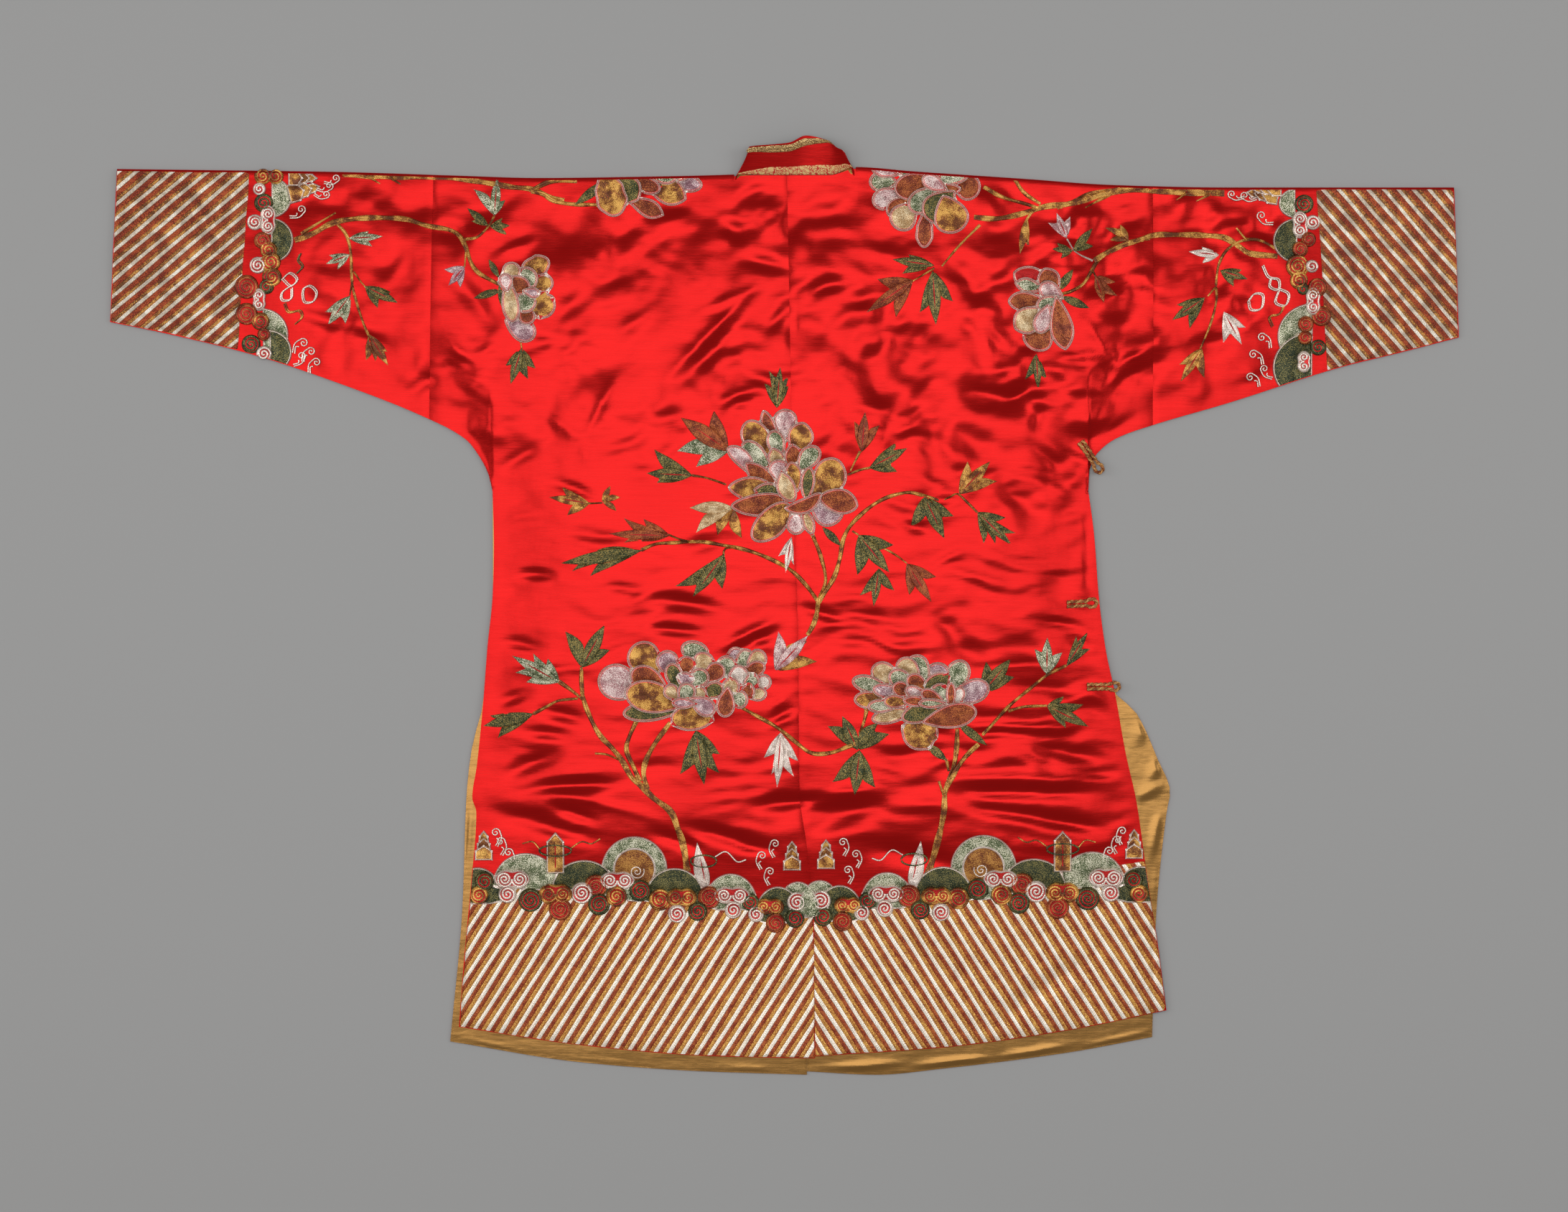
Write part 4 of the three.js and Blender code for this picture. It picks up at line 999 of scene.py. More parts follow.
def leaf(spots, fill, width, slit=True):
    """Pointed lobes that spread from one root: the root, then the tips, the middle lobe's last. A leaf that
    changes colour has a thread for each lobe."""
    root, *tips = (np.array(s, float) for s in spots)
    middle = tips[-1] - root
    shapes = []
    for k, tip in enumerate(tips):
        way = tip - root
        length = np.hypot(*way)
        side = math.atan2(way[1], way[0]) - math.atan2(middle[1], middle[0])
        side = (side + math.pi) % (2 * math.pi) - math.pi
        last = k == len(tips) - 1
        bend = 0.0 if last else -0.10 * np.sign(side)
        lobe_fill = fill if isinstance(fill, str) else fill[k]
        foot = root + way * (0.0 if last else 0.04)
        shapes.append(petal(tip, foot, min(width, 0.36 * length), lobe_fill, 0.48, 1.0, bend, "leaf"))
    if slit:
        shapes.append(opening(root + 0.72 * middle, root + 0.12 * middle, 1.3))
    return shapes


FOOT_REACH = 0.85  # from a petal's middle to its foot under the others, in lengths of what shows


def leaves(*rows):
    """Leaves from rows of drawing, places, thread, width, and False where there is no slit. Two places are the tip
    and the root of a blade."""
    shapes = []
    for place, spots, fill, width, *slit in rows:
        if len(spots) == 2:
            shapes.append(petal(*place(*spots), width, fill, 0.5, 0.9, 0, "leaf"))
        else:
            shapes += leaf(place(*spots), fill, width, *slit)
    return shapes


def bloom(place, heart, rows):
    """Petals as rows of middle across and down on the drawing, how wide and how high, thread, and perhaps the way
    the petal points. Without that it points away from the heart. The last rows lie on top."""
    shapes = []
    for across, down, wide, high, fill, *way in rows:
        (x, y), (hx, hy) = place((across, down), heart)
        angle = math.radians(way[0]) if way else math.atan2(y - hy, x - hx)
        c, s = math.cos(angle), math.sin(angle)
        unit = place.step
        length, width = unit * math.hypot(wide * c, high * s), unit * math.hypot(wide * s, high * c)
        tip = (x + c * length / 2, y + s * length / 2)
        root = (x - c * length * FOOT_REACH, y - s * length * FOOT_REACH)
        point = way[1] if len(way) > 1 else 0.0
        wave = way[2] if len(way) > 2 else 0.0
        shapes.append(petal(tip, root, width * 1.06, fill, 0.62, point, 0.0, wave=wave))
    return shapes


def drawing(x, y, step):
    """A drawing laid on the jacket with its upper left corner at x, y: places are counted right and down."""
    def place(*spots):
        return [(x + step * a, y - step * b) for a, b in spots]

    place.step = step
    return place


FINE = 1.6  # spacing of the points on thin cords


def run_along(path):
    """How far along the path each of its points lies."""
    return np.concatenate([[0], np.cumsum(np.hypot(*np.diff(path, axis=0).T))])


def square_to(path):
    """Unit vectors square to the path at each of its points, to its left."""
    way = np.gradient(path, axis=0)
    way /= np.maximum(np.hypot(*way.T), 1e-9)[:, None]
    return np.stack([-way[:, 1], way[:, 0]], -1)


def smooth_path(points, spacing=3.0):
    """Points on a smooth curve through the given ones, evenly spaced."""
    p = np.array(points, float)
    p = np.concatenate([[2 * p[0] - p[1]], p, [2 * p[-1] - p[-2]]])
    out = []
    for a, b, c, d in zip(p[:-3], p[1:-2], p[2:-1], p[3:]):
        n = max(2, int(np.hypot(*(c - b)) / 1.0))
        for t in np.linspace(0, 1, n, endpoint=False):
            out.append(0.5 * (2 * b + (c - a) * t + (2 * a - 5 * b + 4 * c - d) * t**2
                              + (3 * b - a - 3 * c + d) * t**3))
    out.append(p[-2])
    out = np.array(out)
    run = run_along(out)
    at = np.linspace(0, run[-1], max(2, int(run[-1] / spacing)) + 1)
    return np.stack([np.interp(at, run, out[:, 0]), np.interp(at, run, out[:, 1])], -1)


KNOBS = 0.12  # how much a stem's width swells and shrinks along it


def stem(points, width, fill="gold", end=None):
    path = smooth_path(points)
    run = np.linspace(0, 1, len(path))
    half = mix(width, end if end is not None else width * 0.7, run) / 2
    half = half * (1 + KNOBS * np.sin(run * len(path) * 0.55 + points[0][0]))
    sides = square_to(path) * half[:, None]
    return {"loop": np.concatenate([path + sides, (path - sides)[::-1]]), "style": f"stem_{fill}",
            "lines": [path, path + sides / 2, path - sides / 2]}


DENSE = 2.0


def dense(loop):
    """The closed loop with more points along its straight sides."""
    loop = np.asarray(loop, float)
    ahead = np.roll(loop, -1, axis=0)
    sides = []
    for a, b in zip(loop, ahead):
        n = max(1, int(np.hypot(*(b - a)) / DENSE))
        sides.append(a + (b - a) * np.linspace(0, 1, n, endpoint=False)[:, None])
    return np.concatenate(sides)


INSET = 0.7  # of needlework from the cloth's edge


def jacket_outline():
    """The outline of the back and the sleeves, a little inside the cloth's edge."""
    inset = INSET
    left, right = CUFF["left"][0] + inset, CUFF["right"][0] - inset
    top_x = np.arange(left, right, 6.0)
    top = np.column_stack([top_x, shoulder_y(top_x) - inset])
    parts = [top]
    for side in ("right", "left"):
        out = OUT[side]
        low_x = np.arange(abs(CUFF[side][1]) - inset, abs(under_sleeve[side][0][0]), -6.0) * out
        arm = np.column_stack([low_x, read(under_sleeve[side], low_x) + inset])
        down = np.arange(UNDERARM_Y, back_hem[side][-1][1] + 2, -6.0)
        flank = np.column_stack([read(back_side[side], down) - out * inset, down])
        share = np.linspace(1, 0, 50)
        low = read(back_hem[side], share) + inset
        hem = np.column_stack([mix(read(centre_back, low), read(back_side[side], low) - out * inset, share), low])
        run = np.concatenate([arm, flank, hem])
        parts.append(run if side == "right" else run[::-1])
    return np.concatenate(parts)


cloth_outline = jacket_outline()


# %% [markdown]
# ### Cutting a group of shapes into one network

# %% Network
def within(points, loop):
    """Which points lie inside a closed loop."""
    x, y = points[:, 0:1], points[:, 1:2]
    ax, ay = loop[:, 0], loop[:, 1]
    bx, by = np.roll(ax, -1), np.roll(ay, -1)
    crosses = (ay > y) != (by > y)
    rise = np.where(by == ay, 1e-9, by - ay)
    return (crosses & (x < (bx - ax) * (y - ay) / rise + ax)).sum(1) % 2 == 1


def from_edge(points, loop):
    """Distance of each point from a closed loop, and how far along the loop the nearest place lies."""
    a = loop
    ab = np.roll(loop, -1, axis=0) - a
    length = np.hypot(*ab.T)
    start = np.concatenate([[0], np.cumsum(length)[:-1]])
    t = np.clip(((points[:, None] - a) * ab).sum(-1) / np.maximum(length**2, 1e-9), 0, 1)
    gap = np.hypot(*np.moveaxis(points[:, None] - a - t[..., None] * ab, -1, 0))
    k = gap.argmin(1)
    rows = np.arange(len(points))
    return gap[rows, k], start[k] + t[rows, k] * length[k]


def inward(loop, depth):
    """The loop moved inwards; points that would fold over are dropped, and marked so."""
    ahead, behind = np.roll(loop, -1, axis=0), np.roll(loop, 1, axis=0)
    way = ahead - behind
    normal = np.stack([-way[:, 1], way[:, 0]], -1) / np.maximum(np.hypot(*way.T), 1e-9)[:, None]
    area = (loop[:, 0] * ahead[:, 1] - ahead[:, 0] * loop[:, 1]).sum()
    moved = loop + normal * depth * np.sign(area)
    gap, _ = from_edge(moved, loop)
    return moved, (gap > 0.96 * depth) & within(moved, loop)


BASE_LIFT = 0.12  # of all needlework over the cloth
TUCK = 0.6  # how far a line runs on under the shape above it


def embroider(name, shapes, rise=0.0):
    """One piece of embroidery from shapes in painter's order, cut off at the cloth's outline."""
    boxes = [(s["loop"].min(0), s["loop"].max(0)) for s in shapes]
    low, high = np.min([b[0] for b in boxes], 0), np.max([b[1] for b in boxes], 0)
    points, edges = [], []
    close = ((cloth_outline > low - 7) & (cloth_outline < high + 7)).all(1)
    ids = np.where(close, np.cumsum(close) - 1, -1)
    points.extend(map(tuple, cloth_outline[close]))
    edges.extend((a, b) for a, b in zip(ids, np.roll(ids, -1)) if a >= 0 and b >= 0)

    def covers(p, k):
        """The loops of the shapes above that lie over some of the points, and over which."""
        low, high = p.min(0), p.max(0)
        for (box_low, box_high), shape in zip(boxes[k + 1:], shapes[k + 1:]):
            if (box_low < high).all() and (box_high > low).all():
                cover = within(p, shape["loop"])
                if cover.any():
                    yield shape["loop"], cover

    def add(p, keep, closed, k):
        deep = np.zeros(len(p))
        for loop, cover in covers(p, k):
            deep[cover] = np.maximum(deep[cover], from_edge(p[cover], loop)[0])
        keep = keep & (deep <= TUCK)
        ids = np.full(len(p), -1)
        ids[keep] = np.arange(len(points), len(points) + keep.sum())
        points.extend(map(tuple, p[keep]))
        n = len(p)
        for i in range(n if closed else n - 1):
            a, b = ids[i], ids[(i + 1) % n]
            if a >= 0 and b >= 0:
                edges.append((a, b))

    for k, shape in enumerate(shapes):
        style = styles[shape["style"]]
        for depth in style["loops"]:
            if depth == 0:
                add(shape["loop"], np.ones(len(shape["loop"]), bool), True, k)
            else:
                moved, keep = inward(shape["loop"], depth)
                if keep.any():
                    add(moved, keep, True, k)
        for line in shape.get("lines", []):
            add(line, np.ones(len(line), bool), False, k)
        grid = style["grid"]
        low, high = boxes[k]
        if grid and (high - low).min() > grid:
            gx, gy = np.meshgrid(np.arange(low[0], high[0], grid), np.arange(low[1], high[1], grid))
            gx[1::2] += grid / 2
            p = np.stack([gx.ravel(), gy.ravel()], -1)
            p = p[within(p, shape["loop"])]
            if len(p):
                deep, _ = from_edge(p, shape["loop"])
                p = p[deep > style["loops"][-1] + 0.4 * grid]
            if len(p):
                hidden = np.zeros(len(p), bool)
                for _, cover in covers(p, k):
                    hidden |= cover
                points.extend(map(tuple, p[~hidden]))

    flat, _, faces, *_ = delaunay_2d_cdt([Vector(p) for p in points], edges, [], 0, 1e-4)
    flat = np.array([tuple(v) for v in flat])
    faces = np.array([f for f in faces if len(f) == 3])
    centres = flat[faces].mean(1)
    owner = np.full(len(faces), -1)
    for k, shape in enumerate(shapes):
        low, high = boxes[k]
        near = np.nonzero(((centres > low) & (centres < high)).all(1))[0]
        owner[near[within(centres[near], shape["loop"])]] = k
    owned = np.nonzero(owner >= 0)[0]
    if close.any():
        owned = owned[within(centres[owned], cloth_outline)]
    faces, centres, owner = faces[owned], centres[owned], owner[owned]

    lift = np.full(len(flat), 99.0)
    thread_uv = np.zeros((len(faces), 3, 2))
    kinds = np.zeros(len(faces), int)
    for k in np.unique(owner):
        shape, mine = shapes[k], np.nonzero(owner == k)[0]
        style, outline = styles[shape["style"]], shape["loop"]
        used, where = np.unique(faces[mine], return_inverse=True)
        deep, along = from_edge(flat[used], outline)
        total = np.hypot(*(np.roll(outline, -1, axis=0) - outline).T).sum()
        corner = along[where].reshape(-1, 3)
        corner = np.where((corner.max(1) - corner.min(1))[:, None] > total / 2,
                          np.where(corner < total / 2, corner + total, corner), corner)
        thread_uv[mine, :, 0] = corner
        thread_uv[mine, :, 1] = deep[where].reshape(-1, 3)
        middle, _ = from_edge(centres[mine], outline)
        ends = np.array([b for b, _ in style["bands"]])
        names = np.array([thread_names.index(f) for _, f in style["bands"]])
        kinds[mine] = names[np.searchsorted(ends, middle)]
        lift[used] = np.minimum(lift[used], np.interp(deep, *zip(*style["lift"])))
    used, faces_flat = np.unique(faces, return_inverse=True)
    faces = faces_flat.reshape(-1, 3)
    spots = flat[used]
    z = surface(spots[:, 0], spots[:, 1]) + lift[used] + BASE_LIFT + rise
    turned = np.cross(spots[faces[:, 1]] - spots[faces[:, 0]], spots[faces[:, 2]] - spots[faces[:, 0]]) < 0
    faces[turned] = faces[turned][:, ::-1]
    thread_uv[turned] = thread_uv[turned][:, ::-1]
    present, kinds = np.unique(kinds, return_inverse=True)
    piece = new_piece(name, np.column_stack([spots, z]), faces, [threads[thread_names[p]] for p in present], kinds)
    lay_thread(piece.data, thread_uv)
    print(name, len(shapes), "shapes", len(faces), "triangles")


# %% [markdown]
# ### Couched cords
#
# Single cords, such as the spirals in the clouds, are narrow raised strips that follow the cloth.

# %% Cords
CORD_PROFILE = ((-0.5, 0.0), (-0.28, 0.6), (0, 0.8), (0.28, 0.6), (0.5, 0.0))  # across in widths, and height


def cord_strips(name, cords, rise):
    """cords are (path, width, thread) with paths in millimetres; all of them make one piece."""
    points, faces, kinds, uvs = [], [], [], []
    used = sorted({fill for _, _, fill in cords}, key=thread_names.index)
    for path, width, fill in cords:
        path = np.asarray(path, float)
        across, run = square_to(path), run_along(path)
        start = len(points)
        lines = []
        for off, up in CORD_PROFILE:
            z = surface(path[:, 0], path[:, 1]) + rise + up * min(width, 1.6) * 0.6
            lines.append(np.column_stack([path + across * (off * width), z]))
        block = np.stack(lines, 1)
        points.extend(block.reshape(-1, 3))
        m = len(CORD_PROFILE)
        for i in range(len(path) - 1):
            for j in range(m - 1):
                a = start + i * m + j
                faces.append((a, a + m, a + m + 1, a + 1))
                kinds.append(used.index(fill))
                v0, v1 = CORD_PROFILE[j][0] + 0.5, CORD_PROFILE[j + 1][0] + 0.5
                uvs.extend([(run[i], v0), (run[i + 1], v0), (run[i + 1], v1), (run[i], v1)])
    faces = [f[::-1] for f in faces]
    piece = new_piece(name, points, faces, [threads[f] for f in used], kinds)
    lay_thread(piece.data, np.array(uvs).reshape(-1, 4, 2)[:, ::-1])
    print(name, len(faces), "faces")


def spiral(x, y, radius, turns, start=0.0, way=1, flat=1.0, step=0.42):
    angle = np.arange(0, turns * 2 * np.pi, step)
    r = mix(radius, 0.5, angle / angle[-1])
    return np.column_stack([x + r * np.cos(start + way * angle), y + flat * r * np.sin(start + way * angle)])


# %% [markdown]
# ### Hills, clouds and the rainbow disc of the hem
#
# The border is drawn for the left half and turned over for the right one, as embroiderers do with a pricked
# pattern, with small shifts so that the halves differ as handwork does.

# %% Hem border
MIRROR_X = 25.0  # the border's middle
RIGHT_SHIFT = 1.5  # how much higher the right half lies


HILL_DEEP = 34  # from a hill's top to its foot, which clouds cover


def dome(x, top, half, fill):
    angle = np.linspace(0, np.pi, 26)
    foot = top - HILL_DEEP
    arc = np.column_stack([x + half * np.cos(angle), foot + HILL_DEEP * np.sin(angle) ** 0.9])
    return {"loop": np.concatenate([arc, [(x - half * 0.5, foot - 3), (x + half * 0.5, foot - 3)]]),
            "style": f"hill_{fill}"}


def ellipse(x, y, a, b, count=40, waist=0.0):
    angle = np.linspace(0, 2 * np.pi, count, endpoint=False)
    px, py = a * np.cos(angle), b * np.sin(angle)
    py = py * (1 - waist * np.exp(-((px / (0.3 * a)) ** 2)))
    return np.column_stack([x + px, y + py])


CLOUD_CORD, CLOUD_PITCH = 2.1, 3.6


def cloud_style(cord):
    return {"bands": [(CLOUD_CORD, cord), (999, "red")],
            "lift": [(0, -0.1), (0.95, 1.3), (CLOUD_CORD, 0.3), (99, 0.3)],
            "loops": [0, 0.95, CLOUD_CORD], "grid": 9}


def windings(a, b, start):
    """The cord wound up inside a cloud of half sizes a and b, round its middle: two spirals where it is long."""
    long, short = max(a, b), min(a, b)
    if long < 1.25 * short:
        return [spiral(0, 0, short - CLOUD_CORD / 2, (short - 1) / CLOUD_PITCH, start)]
    r = min(short - 2.9, 0.56 * long - 1.2)
    pair = [spiral(way * long * 0.42, 0, r, r / CLOUD_PITCH + 0.25, 0 if way < 0 else np.pi, way) for way in (-1, 1)]
    return [path[:, ::-1] for path in pair] if b > a else pair


for cord_name in ("silver", "gold", "pine", "copper"):
    styles[f"cloud_{cord_name}"] = cloud_style(cord_name)
styles["disc"] = {"bands": [(1.6, "silver"), (11.5, "sage"), (13.4, "silver"), (999, "bronze")],
                  "lift": [(0, -0.1), (0.8, 1.2), (1.6, 0.7), (4, 1.1), (11.5, 0.8), (12.4, 1.4), (13.4, 0.7),
                           (18, 0.7)],
                  "loops": [0, 0.8, 1.6, 6.5, 11.5, 12.4, 13.4], "grid": 4.5}

# x, top, half width, filling of the hills
hills = [(-307, -262, 25, "pine"), (-258.8, -247.4, 33, "sage"), (-200.3, -254.3, 33, "pine"),
         (-109.6, -262.4, 30, "pine"), (-53.3, -268, 27, "sage"), (14, -276, 22, "sage"), (-6, -281, 24, "pine")]
DISC = (-149.8, -263.5, 33)
# x, y, half width, half height, cord; wide ones hold two spirals. Those further back come first.
clouds = [
    (-300.1, -276.1, 9.6, 9.6, "pine"), (-188.8, -280.7, 11.5, 11.5, "copper"), (-75.1, -292.2, 11.5, 11.5, "copper"),
    (-144, -285.3, 11, 11, "pine"), (-33.8, -296.8, 9, 9, "pine"), (13.2, -296.8, 10.3, 10.3, "silver"),
    (-272.6, -273.8, 18, 11, "silver"), (-167, -275, 17.5, 10.4, "silver"), (-52.2, -289.9, 18.4, 10, "silver"),
    (-305.9, -289.9, 9.2, 9.2, "gold"), (-277.2, -288.8, 9.2, 9.2, "silver"), (-254.2, -294.5, 12, 12, "pine"),
    (-202.6, -287.6, 11, 11, "silver"), (-185.3, -299.1, 11, 11, "pine"), (-168, -291, 10.5, 10.5, "gold"),
    (-124.5, -294.5, 11, 11, "gold"), (-86.6, -306, 9.7, 9.7, "pine"), (-229, -288.8, 17, 11.5, "gold"),
    (-102.7, -292.2, 15.5, 10.4, "gold"), (-224.4, -303.7, 11.5, 11.5, "copper"),
    (-107.3, -308.3, 9.2, 9.2, "silver"),
    (-51, -304.8, 8.7, 8.7, "silver"), (10.9, -312.9, 9.6, 9.6, "pine"), (-14.3, -301.4, 14.4, 9.4, "gold"),
    (-8.6, -317.8, 9.8, 9.8, "copper"), (-28, -309, 8, 8, "silver"),
]


def stepped_rock(x, y, half, high, turn=0.0):
    """Chevrons of gold with silver rims, stacked like steps; `turn` is the way they point, in degrees from +Y."""
    c, s = math.cos(math.radians(turn)), math.sin(math.radians(turn))
    shapes = []
    for k in (2, 1, 0):
        side, base = half * (1 - 0.22 * k), high * 0.8 * k
        step = np.array([(-side, base - high), (-side, base + 0.1 * high), (0, base + 0.75 * high),
                         (side, base + 0.1 * high), (side, base - high)], float)
        step = step @ np.array([[c, s], [-s, c]]) + (x, y)
        shapes.append({"loop": dense(step), "style": "hill_gold"})
    return shapes


def wave_curl(x, y, size, way, turn=0.0):
    """A curl of silver cord on a bent stalk, as the crests of waves are drawn."""
    c, s = math.cos(math.radians(turn)), math.sin(math.radians(turn))
    head = spiral(0, 0, size, 1.4, 0.5 if way > 0 else math.pi - 0.5, way)
    stalk = smooth_path([tuple(head[0]), (way * size * 1.35, -size * 1.3), (way * size * 0.5, -size * 3.2)],
                        FINE)
    inner = smooth_path([(way * size * 0.2, -size * 1.25), (way * size * 0.75, -size * 1.7), (0, -size * 3.0)],
                        FINE)
    return [path @ np.array([[c, s], [-s, c]]) + (x, y) for path in (head, stalk, inner)]


def hem_border(side):
    shapes, cords = [], []

    def flip(path):
        if side == "left":
            return path
        path = np.asarray(path, float)
        return np.column_stack([2 * MIRROR_X - path[:, 0], path[:, 1] + RIGHT_SHIFT])

    def put(shape):
        shapes.append({**shape, "loop": flip(shape["loop"]), "lines": [flip(l) for l in shape.get("lines", [])]})

    # The rainbow disc stands behind its neighbours.
    put({"loop": ellipse(*DISC[:2], DISC[2], DISC[2], 60), "style": "disc"})
    cords.append((flip(spiral(DISC[0] + 2.4, DISC[1] - 2.5, 7.6, 2.0, 0.4, -1)), 1.3, "silver"))
    for row in hills:
        put(dome(*row))
    # A pointed pillar and a horn stand on the hills, each through a ring.
    pillar = dense([(-238, -268), (-238, -236), (-229, -226.5), (-220, -236), (-220, -268)])
    put({"loop": pillar, "style": "hill_gold"})
    put({"loop": dense([(-229.6, -262), (-229.6, -240), (-228.4, -240), (-228.4, -262)]), "style": "slit"})
    put(petal((-87, -236.5), (-78, -284), 15, "silver", 0.35, 1.0, 0.03, "leaf"))
    put(opening((-84, -252), (-79, -276), 1.4))
    cords.append((flip(ellipse(-229, -245, 16, 5.5, 44)), 1.7, "pine"))
    cords.append((flip(ellipse(-80.5, -255.5, 13, 6, 40)), 1.7, "pine"))
    for spots, width, cord in (([(-214, -243), (-203, -236), (-193, -238), (-184, -233)], 1.4, "gold"),
                               ([(-245, -243), (-252, -236), (-262, -238)], 1.3, "gold"),
                               ([(-69, -251), (-58, -246), (-47, -256), (-38, -254)], 1.4, "silver")):
        cords.append((flip(smooth_path(spots, FINE)), width, cord))
    for x, y, a, b, cord in clouds:
        waist = 0.22 if a > 1.25 * b else 0
        put({"loop": ellipse(x, y, a, b, int(1.3 * (a + b) + 8), waist), "style": f"cloud_{cord}"})
        cords += [(flip(winding + (x, y)), CLOUD_CORD, cord) for winding in windings(a, b, 0.6 * x)]
    # Waves and rocks in the corners, at the side and at the centre seam.
    for x, y in ((-301, -246), (8, -256)):
        for shape in stepped_rock(x, y, 9, 9):
            put(shape)
    for x, y, way in ((-284, -236, 1), (-276, -247, 1), (-289, -227, 1), (-22, -250, -1), (-14, -266, -1),
                      (-9, -238, -1)):
        cords.extend((flip(path), 1.3, "silver") for path in wave_curl(x, y, 4.4, way))
    embroider(f"embroidery_border_{side}", shapes, 0.85)
    cord_strips(f"cords_border_{side}", cords, rise=1.5)


# %% [markdown]
# ### Stripes
#
# Slanting stripes of silver, copper and gold thread cover the hem below the clouds, and the cuffs.

# %% Stripes
# The stripes' threads, with lit, middle and shaded tones for painted shine and shade.
dye("white", (1.0, 0.97, 0.90), (1.0, 0.91, 0.79), (0.74, 0.62, 0.50), (0.48, 0.38, 0.30), pitch=1.35, patches=0.25,
    specks=0.35, metallic=0.55, gloss=0.2)
dye("stripe_gold", (0.88, 0.54, 0.13), (0.60, 0.29, 0.055), (0.30, 0.11, 0.02), RUST, pitch=1.3, patches=0.3,
    specks=1.0, metallic=0.6)
dye("stripe_copper", (0.56, 0.17, 0.045), (0.32, 0.058, 0.016), (0.15, 0.012, 0.006), RUST, pitch=1.3, patches=0.4,
    specks=0.9, metallic=0.6)
dye("cuff_silver", (1.0, 0.95, 0.84), (0.66, 0.56, 0.45), (0.40, 0.33, 0.26), (0.40, 0.30, 0.24), pitch=1.35,
    patches=0.55, specks=0.35, metallic=0.5, gloss=0.24)
dye("cuff_copper", (0.50, 0.11, 0.03), (0.25, 0.035, 0.012), (0.10, 0.010, 0.005), RUST, pitch=1.3, patches=0.5,
    specks=0.9, metallic=0.6)
dye("cuff_gold", (0.74, 0.38, 0.09), (0.26, 0.115, 0.028), (0.09, 0.040, 0.011), RUST, pitch=1.3, patches=0.8,
    specks=1.0, metallic=0.6)
# width of each stripe, square to it, and its thread
hem_stripes = [(4.1, "white"), (3.8, "stripe_copper"), (3.9, "stripe_gold")]
cuff_stripes = [(3.6, "cuff_silver"), (4.6, "cuff_copper"), (3.2, "cuff_gold")]


STRIPE_STEP, STRIPE_RISE = 5.0, 0.1
WAVER = 0.35  # how far the rows stray from straight


def striped(name, loop, turn, repeat, start=0.0):
    """Stripes at `turn` degrees over the region inside a closed loop that has no hollows."""
    c, s = math.cos(math.radians(turn)), math.sin(math.radians(turn))
    along, across = np.array([c, s]), np.array([-s, c])
    loop = np.asarray(loop, float)
    u, v = loop @ along, loop @ across
    u2, v2 = np.roll(u, -1), np.roll(v, -1)
    period = sum(w for w, _ in repeat)
    lines = []  # place across, thread of the band after it, height, place within the band
    at = math.floor((v.min() - start) / period) * period + start
    while at < v.max():
        for width, fill in repeat:
            for share, lift in ((0, 0.4), (0.12, 0.7), (0.88, 0.7)):
                lines.append((at + share * width, fill, lift, share * width))
            at += width
    places, fills, lifts, inner = zip(*(l for l in lines if v.min() + 0.05 < l[0] < v.max() - 0.05))
    rows = []
    for t in places:
        cross = (v > t) != (v2 > t)
        at_u = u[cross] + (t - v[cross]) / (v2[cross] - v[cross]) * (u2[cross] - u[cross])
        rows.append((at_u.min(), at_u.max()))
    count = max(4, int(max(b - a for a, b in rows) / STRIPE_STEP))
    share = np.linspace(0, 1, count + 1)
    us = np.array([mix(a, b, share) for a, b in rows])
    places = np.array(places)[:, None]
    ts = places + WAVER * np.sin(us / 19 + places / 7)
    x, y = us * along[0] + ts * across[0], us * along[1] + ts * across[1]
    z = surface(x, y) + STRIPE_RISE + np.array(lifts)[:, None]
    edge = np.minimum(us - us[:, :1], us[:, -1:] - us)
    z = z - 0.5 * (edge < 0.5)
    ids = np.arange(x.size).reshape(x.shape)
    faces = np.stack([ids[:-1, :-1], ids[:-1, 1:], ids[1:, 1:], ids[1:, :-1]], -1).reshape(-1, 4)
    used = sorted({f for _, f in repeat})
    kinds = np.repeat([used.index(f) for f in fills[:-1]], count)
    low = np.array(inner[:-1])
    high = low + np.diff(places[:, 0])
    uv = np.zeros((len(low), count, 4, 2))
    uv[..., 0, 0] = uv[..., 3, 0] = us[:-1, :-1]
    uv[..., 1, 0] = uv[..., 2, 0] = us[:-1, 1:]
    uv[..., 0, 1] = uv[..., 1, 1] = low[:, None]
    uv[..., 2, 1] = uv[..., 3, 1] = high[:, None]
    piece = new_piece(name, np.stack([x, y, z], -1).reshape(-1, 3), faces, [threads[f] for f in used], kinds)
    lay_thread(piece.data, uv)
    print(name, len(faces), "faces")


def hem_region(side):
    """The border under the clouds, a little inside the back's edges."""
    out = OUT[side]
    share = np.linspace(0, 1, 40)
    low = read(back_hem[side], share) + INSET
    low_x = mix(read(centre_back, low), read(back_side[side], low), share)
    top_in, top_out = -303, (-272 if side == "left" else -256)
    up = np.linspace(0, 1, 12)[1:]
    outer_y = mix(low[-1], top_out, up)
    inner_y = mix(top_in, low[0], up[:-1])
    low_x[0] += out * 0.3
    low_x[-1] -= out * INSET
    outer_x = read(back_side[side], outer_y) - out * INSET
    inner_x = read(centre_back, inner_y) + out * 0.3
    start_in = [(read(centre_back, top_in) + out * 0.3, top_in)]
    return np.concatenate([np.column_stack([low_x, low]), np.column_stack([outer_x, outer_y]), start_in,
                           np.column_stack([inner_x, inner_y])])


striped("stripes_hem_left", hem_region("left"), 57.5, hem_stripes[::-1])
striped("stripes_hem_right", hem_region("right"), 122.5, hem_stripes, 3.0)
hem_border("left")
hem_border("right")


